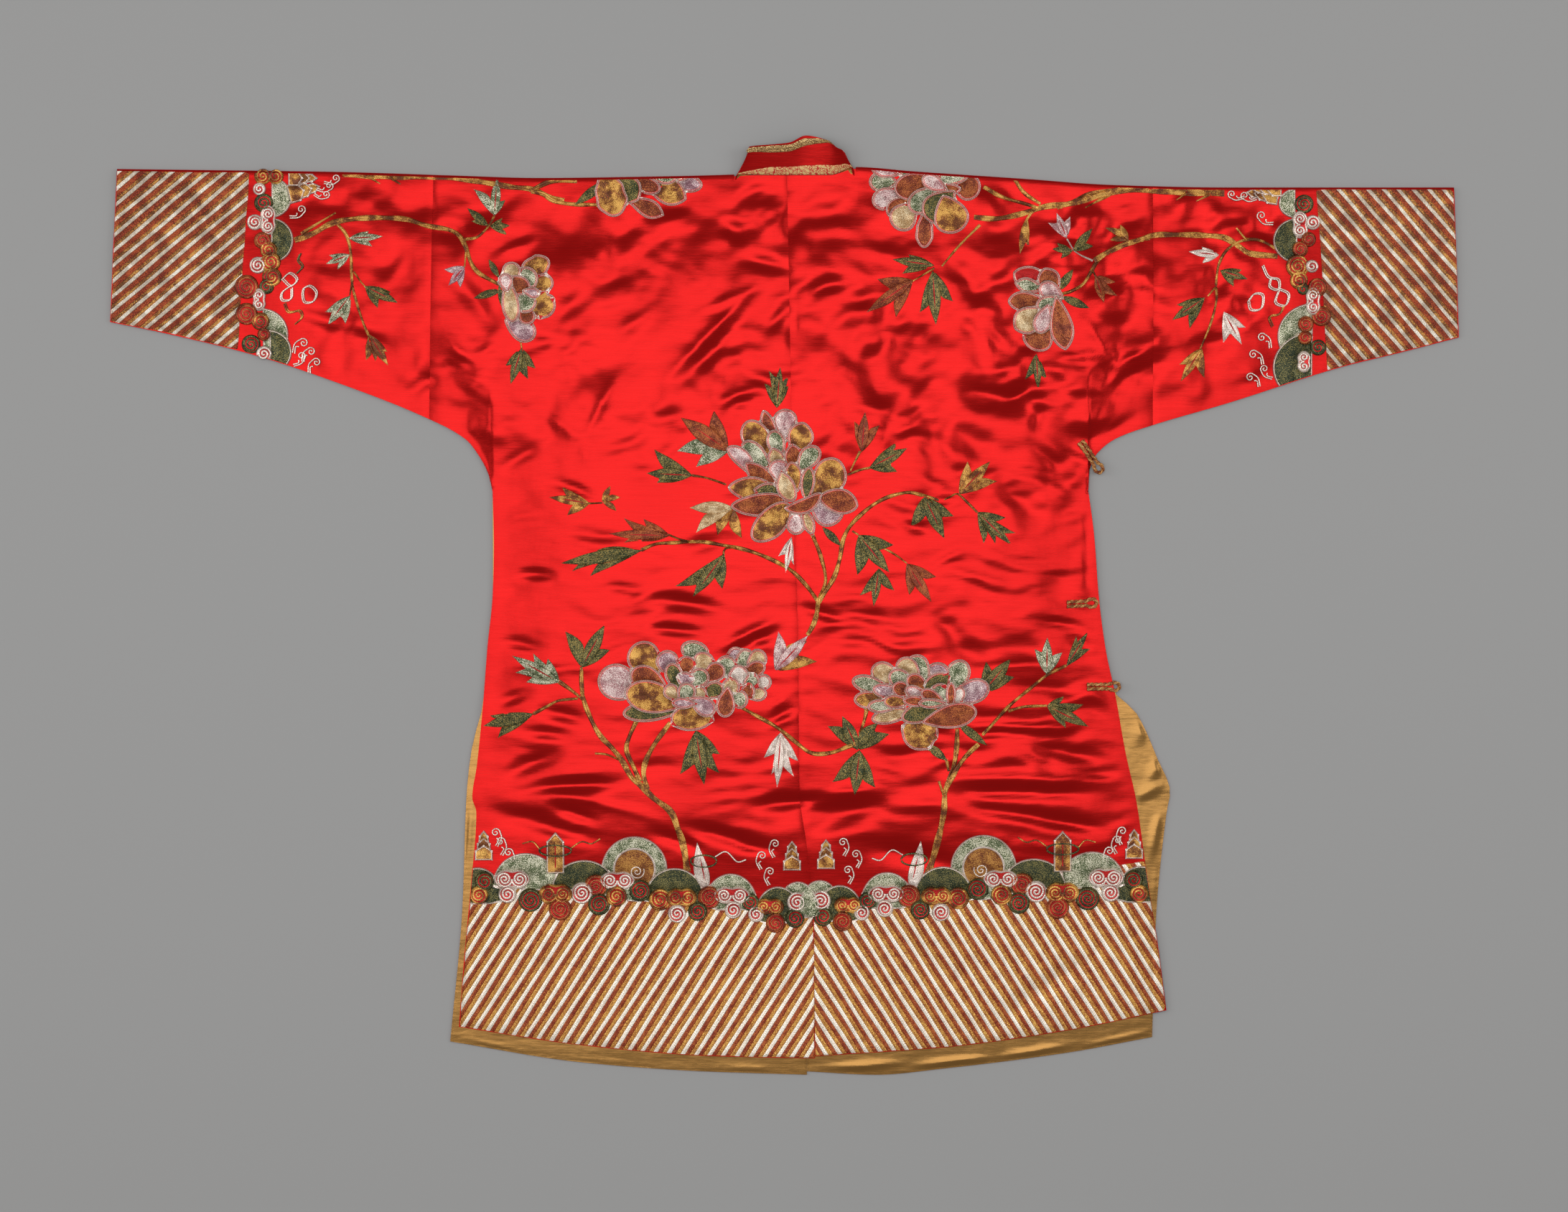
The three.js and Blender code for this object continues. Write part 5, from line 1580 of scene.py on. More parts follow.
def cuff_region(side, inner):
    """The cuff, from a slanting inner line to its free edge; `inner` is x at the fold and at the under seam."""
    out = OUT[side]
    share = np.linspace(0, 1, 20)
    top_x = mix(inner[0], CUFF[side][0] - out * 0.6, share)
    low_x = mix(inner[1], CUFF[side][1] - out * 0.6, share)
    return np.concatenate([np.column_stack([top_x, shoulder_y(top_x) - 0.3]),
                           np.column_stack([low_x, read(under_sleeve[side], low_x) + 0.8])[::-1]])


striped("stripes_cuff_left", cuff_region("left", (-536, -548)), 40, cuff_stripes[::-1])
striped("stripes_cuff_right", cuff_region("right", (534, 545)), 131, cuff_stripes)

# %% [markdown]
# ### Centre flower
#
# A large peony on the upper back. Its back petals come first, and each row covers the feet of the one behind it.

# %% Centre flower
# tip, root, width, fill, widest, point, bend
centre_petals = [
    ((1.6, 197.6), (0.6, 161.3), 20.7, "rose", 0.68, 0, 0),
    ((-20.9, 196.2), (-4, 158.4), 12.5, "copper", 0.6, 0.2, 0.04),
    ((-39.8, 183.8), (-8, 151), 24, "gold", 0.62, 0, 0.04),
    ((20, 184.3), (10.7, 153), 22.5, "gold", 0.55, 0.2, -0.03),
    ((-11.8, 176.5), (-3, 147), 16.5, "sage", 0.6, 0, 0),
    ((-41.6, 164.1), (-13, 138), 19.5, "sage", 0.6, 0, 0.04),
    ((-56.4, 159.6), (-28.7, 128.3), 15, "rose", 0.6, 0, -0.08),
    ((-12.2, 159.5), (-3, 134), 15.6, "cream", 0.5, 0.5, 0),
    ((8.4, 162.7), (11.7, 132), 17, "copper", 0.55, 0.3, 0),
    ((34.6, 159.5), (14, 134), 18, "sage", 0.6, 0, 0.03),
    ((55.5, 146.6), (27, 108), 29, "gold", 0.62, 0.1, -0.05),
    ((-39.3, 143.9), (-8, 122), 16.5, "copper", 0.5, 0.4, 0.05),
    ((-7.6, 147.1), (-2, 122.5), 18, "rose", 0.62, 0, 0),
    ((6.6, 144.8), (14, 114), 15, "gold", 0.6, 0.2, 0),
    ((-56.3, 119), (-8, 111), 22, "gold", 0.45, 0.2, -0.04),
    ((-31, 116.8), (6.3, 110.5), 18, "moss", 0.55, 0.6, 0.02),
    ((-53.5, 99.8), (1, 105.4), 20, "copper", 0.42, 0.1, 0.03),
    ((-31.5, 66), (5, 103), 25, "gold", 0.5, 0, 0.03),
    ((11.7, 70.9), (12.1, 97), 16.5, "rose", 0.62, 0, 0),
    ((58.5, 88), (26, 106), 25, "lilac", 0.6, 0, -0.06),
    ((29.1, 69.5), (19.8, 97), 11, "cream", 0.5, 0.7, 0),
    ((-3, 137), (9, 104.3), 17, "cream", 0.45, 0.8, 0.05),
    ((25.4, 139.8), (21.8, 105.2), 13, "moss", 0.55, 0, 0),
    ((74.5, 99.9), (34.4, 109.1), 22, "copper", 0.55, 0.2, 0.02),
    ((37.9, 112.8), (0.5, 97), 13.5, "copper", 0.5, 0, -0.12),
]
left = drawing(-318, 147, 2.43)
right = drawing(-8.6, 147, 2.48)
top_left = drawing(-325.4, 427.7, 2.48)
top_right = drawing(-23, 427.7, 2.48)

centre_group = [
    stem(left((72, 37.5), (78, 35), (86, 34.4), (96, 34), (106, 35.5), (116, 37.6), (126, 41.5), (134, 46), (140, 52),
              (144.5, 58)), 3.4, end=4.2),
    stem(left((83, 31), (88, 33), (94, 34.3)), 2.4),
    stem(left((106, 39.5), (106.5, 37), (111, 36.3)), 2.4),
    stem(left((142.5, 31), (146, 40), (148, 50), (145, 58)), 4.4),
    stem(right((81.5, 21.5), (77.5, 17.5), (73.5, 14), (71, 15), (68, 16.5)), 2.6),
    stem(right((66, 16.5), (59, 14.5), (53, 13.5), (45, 15.5), (38, 19.5), (31, 26), (27.5, 32), (26, 40), (23.5, 48),
               (17.5, 57.5)), 3.2, end=5.0),
    stem(right((31, 29), (33.5, 30.5)), 2.4),
    stem(right((44, 36), (49, 39), (53, 42)), 2.2),
    stem(left((145, 57), (144.5, 63), (143, 68), (140.5, 72.5)), 5.2, end=4.6),
    stem(left((93, 6.7), (98, 7.5), (103, 9), (107, 10.5)), 2.6),
    stem(left((50, 18.3), (56, 18)), 2.2),
    stem(top_right((40, 110), (38.5, 113), (36, 118)), 2.6),
    stem(top_right((44, 116.7), (40, 117.5), (35, 119.5)), 3.0),
]
centre_group += leaves(
    (top_left, [(128.3, 92.7), (123.2, 82.5), (133.3, 83.4), (125, 77.5), (133.3, 79.8), (129.7, 76)], "moss", 9),
    (top_left, [(109, 110), (88, 110), (95.8, 116.3), (103, 93.5), (89.5, 96.4)],
     ("sage", "sage", "copper", "copper"), 17),
    (left, [(93.3, 6.7), (78.5, 9.8), (77.4, -4.1), (74.3, 5.8)], "moss", 13),
    (left, [(51, 18.2), (39.3, 11.2), (41.5, 23.2), (34, 15.6)], "gold", 9),
    (left, [(56, 17.6), (63.5, 15.8), (61.8, 21.4), (59.3, 11)], "gold", 8, False),
    (left, [(84, 31.5), (73, 24.6), (64.8, 24.2), (65, 34.5), (72, 34), (58.5, 30.8)], "copper", 10),
    (left, [(72.5, 37.6), (43.5, 46.3), (51, 48.3), (38.5, 43)], "moss", 13, False),
    (left, [(106.3, 39), (86, 52.3), (105.5, 53.5), (93.3, 56.7)], "moss", 13),
    (left, [(110, 20), (113.5, 32.5), (103.5, 31.4), (94.7, 30.3), (92, 20)], ("gold", "gold", "cream", "cream"), 13,
     False),
    (left, [(134, 32), (128.5, 40), (135, 43.5), (131.5, 46.8)], "silver", 7),
    (left, [(127, 87.3), (144.5, 83.5), (140.5, 75), (128.5, 71), (140.8, 72.6)], ("gold", "gold", "rose", "rose"),
     13),
    (right, [(18.8, 27.3), (26.5, 35)], "moss", 8),
    (top_right, [(40.6, 110.5), (37.6, 98), (48, 99.5), (42, 94.2)], "copper", 11),
    (top_right, [(43.6, 116.8), (54.5, 106.3), (55, 118.3), (59, 108.8)], "moss", 12),
    (right, [(60, 15), (54.5, 27.3), (72, 23), (68.2, 32)], "moss", 14),
    (right, [(74, 14.3), (77.5, 1), (89.5, 9), (86.8, 0.8)], "gold", 12),
    (right, [(81.5, 21.3), (93, 23.5), (84, 34), (88.7, 34.2), (97, 29.8), (95.5, 34.8)], "moss", 9),
    (right, [(33.5, 30.5), (47.7, 34.6), (33, 46.8), (46, 45.8)], "moss", 14),
    (right, [(41.8, 44), (34, 55), (48, 53), (39.6, 59.4)], "moss", 9),
    (right, [(53, 42), (65, 47.5), (54, 55), (63, 57.7)], "copper", 11))
centre_group += [petal(tip, root, 1.2 * wide, *rest) for tip, root, wide, *rest in centre_petals]
embroider("embroidery_centre", centre_group)

# %% [markdown]
# ### Lower flowers
#
# Two smaller peonies grow on trunks that rise from the hem. Their petals lie like scales, those near the heart on
# top.

# %% Lower flowers
lower_left = drawing(-195.8, -18.7, 1.332)
lower_left_petals = [
    (45, 65, 39, 15, "moss", 186), (21, 43, 29, 26, "rose"), (41, 24, 26, 21, "gold"), (59, 27, 17, 16, "lilac"),
    (43, 41, 29, 14, "copper"), (45, 54, 36, 23, "gold"), (80, 19, 21, 14, "sage"), (111, 23, 14, 12, "lilac"),
    (119, 25, 12, 16, "sage"), (128, 25, 12, 15, "cream"), (126, 33, 16, 11, "copper"), (132, 43, 12, 12, "silver"),
    (128, 52, 13, 11, "cream"), (104, 31, 17, 15, "sage"), (114, 38, 13, 17, "silver"), (124, 42, 10, 13, "sage"),
    (121, 50, 9, 13, "copper"), (114, 56, 13, 14, "sage"), (87, 27, 17, 13, "cream"), (74, 29, 14, 12, "copper"),
    (64, 37, 13, 18, "moss"), (108, 46, 12, 14, "cream"), (96, 35, 13, 16, "copper"), (84, 39, 15, 13, "sage"),
    (73, 40, 14, 10, "lilac"), (95, 49, 15, 13, "moss"), (84, 52, 11, 14, "cream"), (62, 50, 13, 11, "cream"),
    (74, 50, 14, 14, "sage"), (78, 71, 32, 18, "gold", 275, 0, 0.05), (103, 61, 14, 18, "copper", 262),
    (88, 62, 18, 13, "lilac", 330), (70, 59, 15, 9, "lilac", 178),
]
lower_left_group = [
    stem(left((47.5, 85.5), (47.4, 91), (47.8, 97)), 4.0, end=4.4),
    stem(left((38, 91.5), (43, 95), (48, 99)), 4.2),
    stem(left((27.5, 105), (33, 102), (38, 99.5), (46, 98.6)), 3.4),
    stem(left((47.6, 96.5), (50, 104), (54.5, 113), (60, 119), (64, 124), (68, 131), (72, 134.5), (77, 139.5),
              (84, 145), (87, 152), (89.5, 160), (91, 170)), 4.4, end=7.0),
    stem(left((53, 121.2), (58, 121.7), (63, 124)), 2.2),
    stem(left((71.5, 105), (67.3, 114), (66, 120), (69, 127), (71.5, 133)), 4.2, end=5.0),
    stem(left((84, 108.5), (76.5, 119), (73, 128), (74.5, 136)), 4.6, end=5.4),
    stem(left((111, 101), (120, 106), (128, 110.5), (135, 116), (142, 121), (150, 121), (157, 118.5),
              (161, 117)), 3.6,
         end=4.4),
]
lower_left_group += leaves(
    (left, [(47.5, 86), (40.7, 71), (59.3, 78.6), (57, 68.2)], "moss", 14),
    (left, [(38.5, 92), (27.5, 80), (33.5, 82), (24.5, 92), (20, 88), (18.6, 81)], "sage", 11),
    (left, [(27.7, 105), (9.5, 105.6), (12.8, 115), (6.8, 110)], "moss", 13, False),
    (left, [(94.5, 111.5), (104.5, 121.5), (104.3, 129.3), (88, 129.8), (98, 134.2)], "moss", 14),
    (left, [(129.5, 112.5), (137, 124.5), (122.5, 123), (135, 130.8), (125.5, 130), (128, 135.3)], "silver", 10))
lower_left_group += bloom(lower_left, (70, 59), lower_left_petals)
embroider("embroidery_lower_left", lower_left_group)

lower_right = drawing(56.2, -33.1, 1.79)
lower_right_petals = [
    (66, 19, 12, 17, "sage", 62), (54, 19, 14, 12, "lilac"), (43, 15, 12, 14, "sage"), (37, 16, 14, 11, "cream"),
    (24, 19, 15, 12, "cream"), (15, 25, 18, 9, "sage"), (75, 29, 19, 12, "lilac", 22), (16, 34, 17, 10, "gold"),
    (27, 43, 20, 8, "cream"), (22, 37.5, 14, 8, "sage"), (33, 22, 14, 10, "sage"), (25, 29, 15, 8, "lilac"),
    (34, 28, 11, 9, "copper"), (42, 24, 12, 9, "copper"), (54, 24, 17, 8, "moss"), (41, 29.5, 11, 7, "rose"),
    (30, 35, 12, 8, "gold"), (44, 53, 22, 16, "gold", 232, 0, 0.06), (45, 41, 24, 9, "moss"),
    (41.5, 34.8, 13, 6.5, "copper"), (55, 29.5, 13, 7, "sage"), (50, 31.5, 12, 6.5, "copper"),
    (50, 36, 13, 6, "sage"),
    (66.5, 31, 7, 10, "silver", 75), (62, 30.5, 6, 13, "copper", 88), (65, 42.5, 24, 13, "copper", 12),
]
lower_right_group = [
    stem(right((37, 100), (36, 105), (34, 111)), 4.2),
    stem(right((73.5, 108), (73, 118), (71.5, 126), (68.8, 133)), 4.6, end=5.4),
    stem(right((117.5, 83.3), (110, 87), (103, 92.5), (95, 99), (88, 106.5), (83.5, 111.5)), 3.0, end=3.6),
    stem(right((109.5, 99.5), (100, 100), (94, 101.7)), 2.6, end=3.2),
    stem(right((82, 115), (76, 121), (71.5, 128), (68.6, 134), (68, 142), (66.5, 150), (64, 160), (61.5, 168)), 4.4,
         end=7.0),
    stem(right((69, 121), (70, 126)), 3.4),
    stem(right((66, 130), (68, 136)), 3.0),
]
lower_right_group += leaves(
    (right, [(33.3, 117.5), (21, 107.8), (46, 111), (41.5, 106.5), (27, 103.7)], "moss", 13),
    (right, [(34, 117.3), (23, 130.3), (40.3, 132.5), (32, 135.6)], "moss", 14),
    (right, [(83.5, 94.5), (85, 81.6), (96.5, 88), (95, 80.5)], "moss", 14),
    (right, [(85.5, 115.6), (73, 106)], "moss", 9),
    (right, [(60.5, 114.6), (69.3, 121.7)], "moss", 9),
    (right, [(109.5, 87), (104.6, 76.6), (116, 78), (109.8, 72)], "sage", 11),
    (right, [(117.5, 83.7), (121.5, 71.2), (127.5, 76.5), (126.4, 69.6)], "moss", 8),
    (right, [(109.5, 99.5), (116.5, 95.7), (124.5, 99), (117.2, 108.5), (126.5, 108)], "moss", 11))
lower_right_group += bloom(lower_right, (60, 36), lower_right_petals)
embroider("embroidery_lower_right", lower_right_group)

# %% [markdown]
# ### Sleeves and shoulders
#
# A branch with a flower hangs along each sleeve, and a thick one runs along each shoulder fold and over it.

# %% Sleeve flowers
arm_left = drawing(-548.6, 449.3, 2.158)
sleeve_left_group = [
    stem(arm_left((27, 38.5), (36, 35), (43, 31), (50, 29), (60, 28), (70, 28), (79, 28.6), (88, 31.5), (99, 33.5),
                  (104, 37), (107, 43), (109, 49), (113, 54), (122, 59)), 6.0, end=4.0),
    stem(arm_left((30, 35.5), (37, 31), (46, 25.5)), 3.6, end=1.6),
    stem(arm_left((47, 31), (51, 36), (53, 44), (53.5, 54), (54, 60), (56, 68), (59, 77), (61.5, 83)), 3.4, end=2.4),
    stem(arm_left((54.5, 53), (58, 58), (60.5, 60.5)), 2.2),
    stem(arm_left((54, 57), (52.7, 64)), 2.2),
    stem(arm_left((106, 38), (112, 37), (117, 32), (119.7, 27)), 3.0, end=2.2),
    stem(arm_left((106.7, 43), (106, 51)), 2.4),
    stem(arm_left((132, 84), (132.5, 89)), 2.2),
]
sleeve_left_group += leaves(
    (arm_left, [(52, 37.5), (61.5, 34), (63, 41.3), (68, 36.6)], "sage", 8),
    (arm_left, [(52.7, 45), (43, 45.3), (47, 52), (41.5, 49.5)], "sage", 7),
    (arm_left, [(59.5, 59.7), (72, 62.5), (65.6, 70), (75, 67.5)], "moss", 10),
    (arm_left, [(53, 64), (41, 71.6), (50.6, 77.2), (42, 77.8)], "sage", 10),
    (arm_left, [(61.5, 82), (60, 94), (70, 90), (64.3, 94.5), (70.3, 96.5)], "gold", 9),
    (arm_left, [(106, 50.6), (96.5, 52), (104, 60.5), (98.5, 59.5)], "lilac", 8),
    (arm_left, [(119.6, 27), (110, 14.6), (124.8, 19.6), (121, 9)], "sage", 10),
    (arm_left, [(117, 31.7), (109, 29.5), (107, 23.3)], "moss", 8, False),
    (arm_left, [(117.7, 32), (123.5, 28), (125.5, 36), (127, 31.6)], "moss", 7, False),
    (arm_left, [(132.5, 88.5), (125, 96.7), (139, 98), (135.6, 103), (127.4, 105.3)], "moss", 10),
    (arm_left, [(117.2, 47.3), (122, 56)], "moss", 7),
    (arm_left, [(110, 65.4), (123.5, 61.5)], "moss", 8),
    (arm_left, [(123.5, 70), (122, 59)], "moss", 5))
sleeve_left_group += bloom(arm_left, (122.5, 59.5), [
    (139.5, 50.5, 14, 9, "gold", 25, 0, 0.05), (143, 58.5, 9, 9, "gold", 5, 0, 0.05),
    (142.5, 69, 11, 13, "gold", 325, 0, 0.05),
    (133.5, 80.5, 13, 9.5, "lilac", 330), (135, 74, 8, 8, "copper", 290), (135, 56, 9, 12, "sage", 40),
    (128, 52.5, 9, 8, "cream", 60), (134, 67, 12, 10, "sage"), (131, 59.5, 12, 9, "copper", 350),
    (138, 63, 6.5, 5.5, "lilac"), (127.5, 69, 8, 16, "cream", 278), (125, 57, 7, 7, "rose", 100)])
embroider("embroidery_sleeve_left", sleeve_left_group)

arm_right = drawing(279.4, 499.7, 2.847)
sleeve_right_group = [
    stem(top_right((157, 23.5), (146, 27), (137, 32), (133, 38), (130, 42.5), (125, 45.5),
                   (121, 46.5)), 4.6, end=3.0),
    stem(arm_right((75.5, 52.5), (66, 51.5), (62, 49), (57, 46), (50, 45), (40, 44.8), (32, 45), (26, 47), (18, 49.7),
                   (11, 54)), 6.0, end=5.0),
    stem(arm_right((75, 50), (72, 48), (68, 46.5), (63, 47), (58, 50), (55, 55), (54, 62), (54, 68), (52, 76),
                   (48.5, 85)), 3.2, end=2.2),
    stem(arm_right((65, 47), (61, 42.5)), 2.4),
    stem(arm_right((54, 63), (51, 66.5)), 2.0),
    stem(top_right((134, 33), (127, 29.5), (123.5, 24)), 2.0, "silver", 1.4),
    stem(top_right((134, 37), (135.5, 40)), 2.0),
]
sleeve_right_group += leaves(
    (arm_right, [(23, 47), (15, 42.4), (16.5, 46.6), (20.3, 41.2)], "gold", 7, False),
    (top_right, [(126, 29.3), (134.5, 27), (134, 19.8)], "moss", 9, False),
    (top_right, [(126, 29), (119.5, 25.8), (121, 32.3), (117.5, 28.3)], "moss", 7, False),
    (top_right, [(123.5, 24), (116, 17.6), (125, 15), (119.5, 13.5)], "rose", 8),
    (arm_right, [(11.5, 59), (18.5, 61.5), (19, 66.5), (14.3, 69)], "copper", 9),
    (arm_right, [(55, 52), (49, 49), (49, 55), (44.3, 50.8)], "silver", 8),
    (arm_right, [(55.3, 57.4), (63, 57.2), (60, 63.2), (65, 60.6)], "moss", 8),
    (arm_right, [(50, 67), (40, 69.5), (44.6, 78), (38.3, 75)], "moss", 10),
    (arm_right, [(56.5, 72), (64.3, 77.5), (56.5, 83), (63, 83.5)], "silver", 9),
    (arm_right, [(49, 84.5), (41, 90.5), (50, 95.2), (41.5, 96.5)], "gold", 9),
    (top_right, [(111, 70.5), (106.5, 81), (115.6, 81), (112, 85)], "moss", 8),
    (top_right, [(126, 36.5), (119.8, 45.6)], "moss", 9),
    (top_right, [(132.5, 52.3), (121, 47.4)], "moss", 9),
    (top_right, [(125.3, 60), (119.5, 50)], "moss", 9))
sleeve_right_group += bloom(top_right, (120, 48), [
    (109, 41, 17, 9, "red", 155, 0.3), (116, 40.5, 9, 10, "copper", 112, 0.3), (107, 43, 10, 6, "sage", 168, 0.6),
    (105.5, 49.5, 12, 8, "copper", 180, 0.2), (116, 45, 9, 7, "rose", 150), (111.5, 64.5, 13, 9, "copper", 240),
    (107, 57.5, 12, 10, "cream", 215, 0.3), (115, 50.5, 9, 6, "sage", 200), (113.5, 58, 7, 10, "rose", 250),
    (121.5, 61, 9, 17, "copper", 280, 0.4)])
embroider("embroidery_sleeve_right", sleeve_right_group)

# %% Shoulder flowers
shoulder_left_group = [
    stem(arm_left((49, 7.4), (60, 8), (70, 8.6), (80, 8.6), (92, 8.6), (104, 9.6), (116, 11.6), (128, 13.6),
                  (137, 14.6),
                  (145, 18), (152, 20)), 7.0, end=5.0),
    stem(arm_left((60, 8), (66.5, 12)), 3.5, end=1.2), stem(arm_left((70, 8.5), (76, 12.2)), 3.5, end=1.2),
    stem(arm_left((137, 15), (146, 11), (158, 10.8)), 5.0, end=4.0),
    stem(top_left((29, 4.8), (34, 6), (38, 8.6), (45, 10), (56, 10.3)), 5.0, end=3.6),
]
shoulder_left_group += leaves(
    (top_left, [(46.5, 10.4), (60.5, 0)], "moss", 10),
    (top_left, [(55, 3), (61, -3)], "moss", 9))
shoulder_left_group += bloom(top_left, (62, -6), [
    (92, 1.5, 13, 7, "lilac", 350), (88, -2, 12, 6, "sage", 5), (85, 5, 16, 9, "gold", 335, 0.4),
    (83, -1, 10, 6, "sage", 350), (77, 12, 14, 5, "copper", 335, 0.7), (76, 2.5, 12, 6, "copper", 340),
    (68, 4.5, 15, 8, "moss", 318, 0.4), (61.5, 7.5, 12, 16, "gold", 285, 0, 0.05)])
embroider("embroidery_shoulder_left", shoulder_left_group)

shoulder_right_group = [
    stem(arm_right((57, 30), (50, 30), (40, 29.8), (30, 29), (20, 29), (10, 30.5), (3, 33.5), (-2, 35)), 7.0),
    stem(top_right((141, 6), (131, 11.5)), 4.0, end=1.2),
    stem(arm_right((44, 30), (40, 32.6)), 3.0, end=1.0), stem(arm_right((52, 30.5), (47, 33)), 3.0, end=1.0),
    stem(top_right((157, 4), (145, 4.5), (135, 7), (125, 9.8), (115, 11), (105, 14), (95, 16),
                   (86, 15.4)), 6.6, end=5.0),
    stem(top_right((90, 3), (97, 7), (106, 9.6), (112, 11.5)), 4.4),
    stem(top_right((101.5, -2), (106, 5), (113, 10)), 4.6),
    stem(top_right((88.5, 18.5), (80, 27), (73, 35.3)), 2.8),
    stem(top_right((70, 36), (66, 38.5), (61, 41.5)), 2.0),
    stem(top_right((110, 12.5), (107.5, 16)), 3.6),
]
shoulder_right_group += leaves(
    (top_right, [(107.7, 15), (108.3, 27.6), (104.5, 30.5)], "gold", 8, False),
    (top_right, [(70, 35), (59.5, 30.5), (57, 38.4), (53, 32.6)], "moss", 10),
    (top_right, [(61.5, 40.8), (46.8, 40.5), (54.5, 56), (42.5, 54)], "copper", 12),
    (top_right, [(69.3, 37), (64, 54), (77.5, 49.5), (70.6, 59)], "moss", 13))
shoulder_right_group += bloom(top_right, (70, 1), [
    (48, 1, 9, 8, "sage"), (49, -5, 10, 8, "rose", 160), (58, -8, 14, 9, "sage", 110), (50, 8, 11, 9, "rose"),
    (55, 12, 11, 7, "copper"), (57, 16, 13, 7, "cream"), (66, 22, 7, 12, "copper", 268, 0, 0.04),
    (68, -5, 12, 6, "rose", 60),
    (84, 3.5, 9, 11, "copper", 330), (78, -1, 13, 6, "sage", 12), (61, 3, 15, 11, "copper", 190),
    (75, 4, 12, 5, "copper", 0),
    (65, 9, 14, 8, "sage", 210), (71, 12, 15, 9, "moss", 225), (77, 16, 14, 12, "gold", 290),
    (69, 1, 10, 5, "rose", 150)])
embroider("embroidery_shoulder_right", shoulder_right_group)

# %% [markdown]
# ### Hills and clouds at the cuffs
#
# The hem's motifs again, turned to point up the sleeve.

# %% Cuff borders
def half_moon(place, x, top, low, out, fill):
    """A hill lying on its side: its foot line is at x from top to low, and it bulges `out` drawing steps."""
    angle = np.linspace(-np.pi / 2, np.pi / 2, 26)
    middle, half = (top + low) / 2, (low - top) / 2
    spots = [(x + out * math.cos(a), middle + half * math.sin(a)) for a in angle]
    loop = np.array(place(*spots))
    return {"loop": dense(loop), "style": f"hill_{fill}"}


def cuff_border(name, place, moons, rows, rocks, curls, ribbons):
    shapes = [half_moon(place, *row) for row in moons]
    cords = []
    for across, down, half, high, turn in rocks:
        x, y = place((across, down))[0]
        shapes += stepped_rock(x, y, half, high, turn)
    for across, down, a, b, cord in rows:
        x, y = place((across, down))[0]
        count = int(1.4 * (a + b) + 8)
        loop = ellipse(0, 0, b, a, count, 0.22)[:, ::-1] if b > 1.25 * a else ellipse(0, 0, a, b, count)
        shapes.append({"loop": loop + (x, y), "style": f"cloud_{cord}"})
        cords += [(winding + (x, y), CLOUD_CORD, cord) for winding in windings(a, b, across)]
    for across, down, size, way, turn in curls:
        x, y = place((across, down))[0]
        cords.extend((path, 1.25, "silver") for path in wave_curl(x, y, size, way, turn))
    for spots, cord in ribbons:
        path = smooth_path(place(*spots), FINE)
        cords += [(path, 1.3, cord), (path + (1.5, 1.2), 1.2, cord)]
    embroider(f"embroidery_cuff_{name}", shapes, 0.85)
    cord_strips(f"cords_cuff_{name}", cords, rise=1.5)


cuff_border(
    "left", arm_left,
    [(16, 9, 28, 9.5, "sage"), (16, 28, 49, 10.5, "pine"), (12, 70, 94, 12, "sage"), (15, 80, 100, 10.5, "pine")],
    [(12, 8.5, 8.5, 8.5, "gold"), (18, 8.5, 8, 8, "gold"), (10.5, 14.5, 6.5, 6.5, "silver"),
     (12.5, 21, 9.5, 9.5, "pine"),
     (8.5, 30, 8, 8, "silver"), (14.7, 29, 9, 15, "silver"), (12, 38.5, 8.5, 8.5, "copper"),
     (15, 43, 8.5, 8.5, "gold"),
     (10, 50, 8.5, 8.5, "silver"), (16, 48.5, 10, 10, "gold"), (16.5, 55.5, 10, 9.5, "gold"),
     (14, 60, 7.5, 7.5, "pine"),
     (4.6, 60, 12, 12, "copper"), (10.5, 66, 7.5, 11.5, "silver"), (4.5, 72.5, 11, 11, "copper"),
     (11, 76, 9, 9, "gold"),
     (12.5, 82, 6.5, 6.5, "copper"), (6.5, 86.5, 9.5, 9.5, "pine"), (12.5, 91, 8, 8, "silver")],
    [(28.5, 16, 9.5, 10, -75), (28, 9.5, 8, 9, -90)],
    [(43, 13, 4.2, 1, -80), (46, 9.5, 4.0, 1, -75), (41.5, 17, 3.8, 1, -95), (30, 24, 4.4, 1, -60),
     (31, 86, 4.6, -1, -40),
     (34.5, 90, 4.2, -1, -35), (37, 95, 4.2, -1, -30), (30, 92, 4.0, 1, -45)],
    [([(21, 57), (24.5, 54), (28, 57), (25, 60), (21.5, 57)], "silver"),
     ([(25, 60), (21, 63), (21, 66.5), (25, 66), (25.5, 61)], "silver"),
     ([(31, 61), (34, 60), (37, 63), (35.5, 67), (31.5, 67.5), (30.5, 64), (31, 61)], "silver"),
     ([(29.5, 45), (28.5, 48), (30.5, 51), (28, 54)], "pine"),
     ([(22, 68), (24, 72), (29, 71.5), (30, 74.5), (27, 77.5)], "gold")])

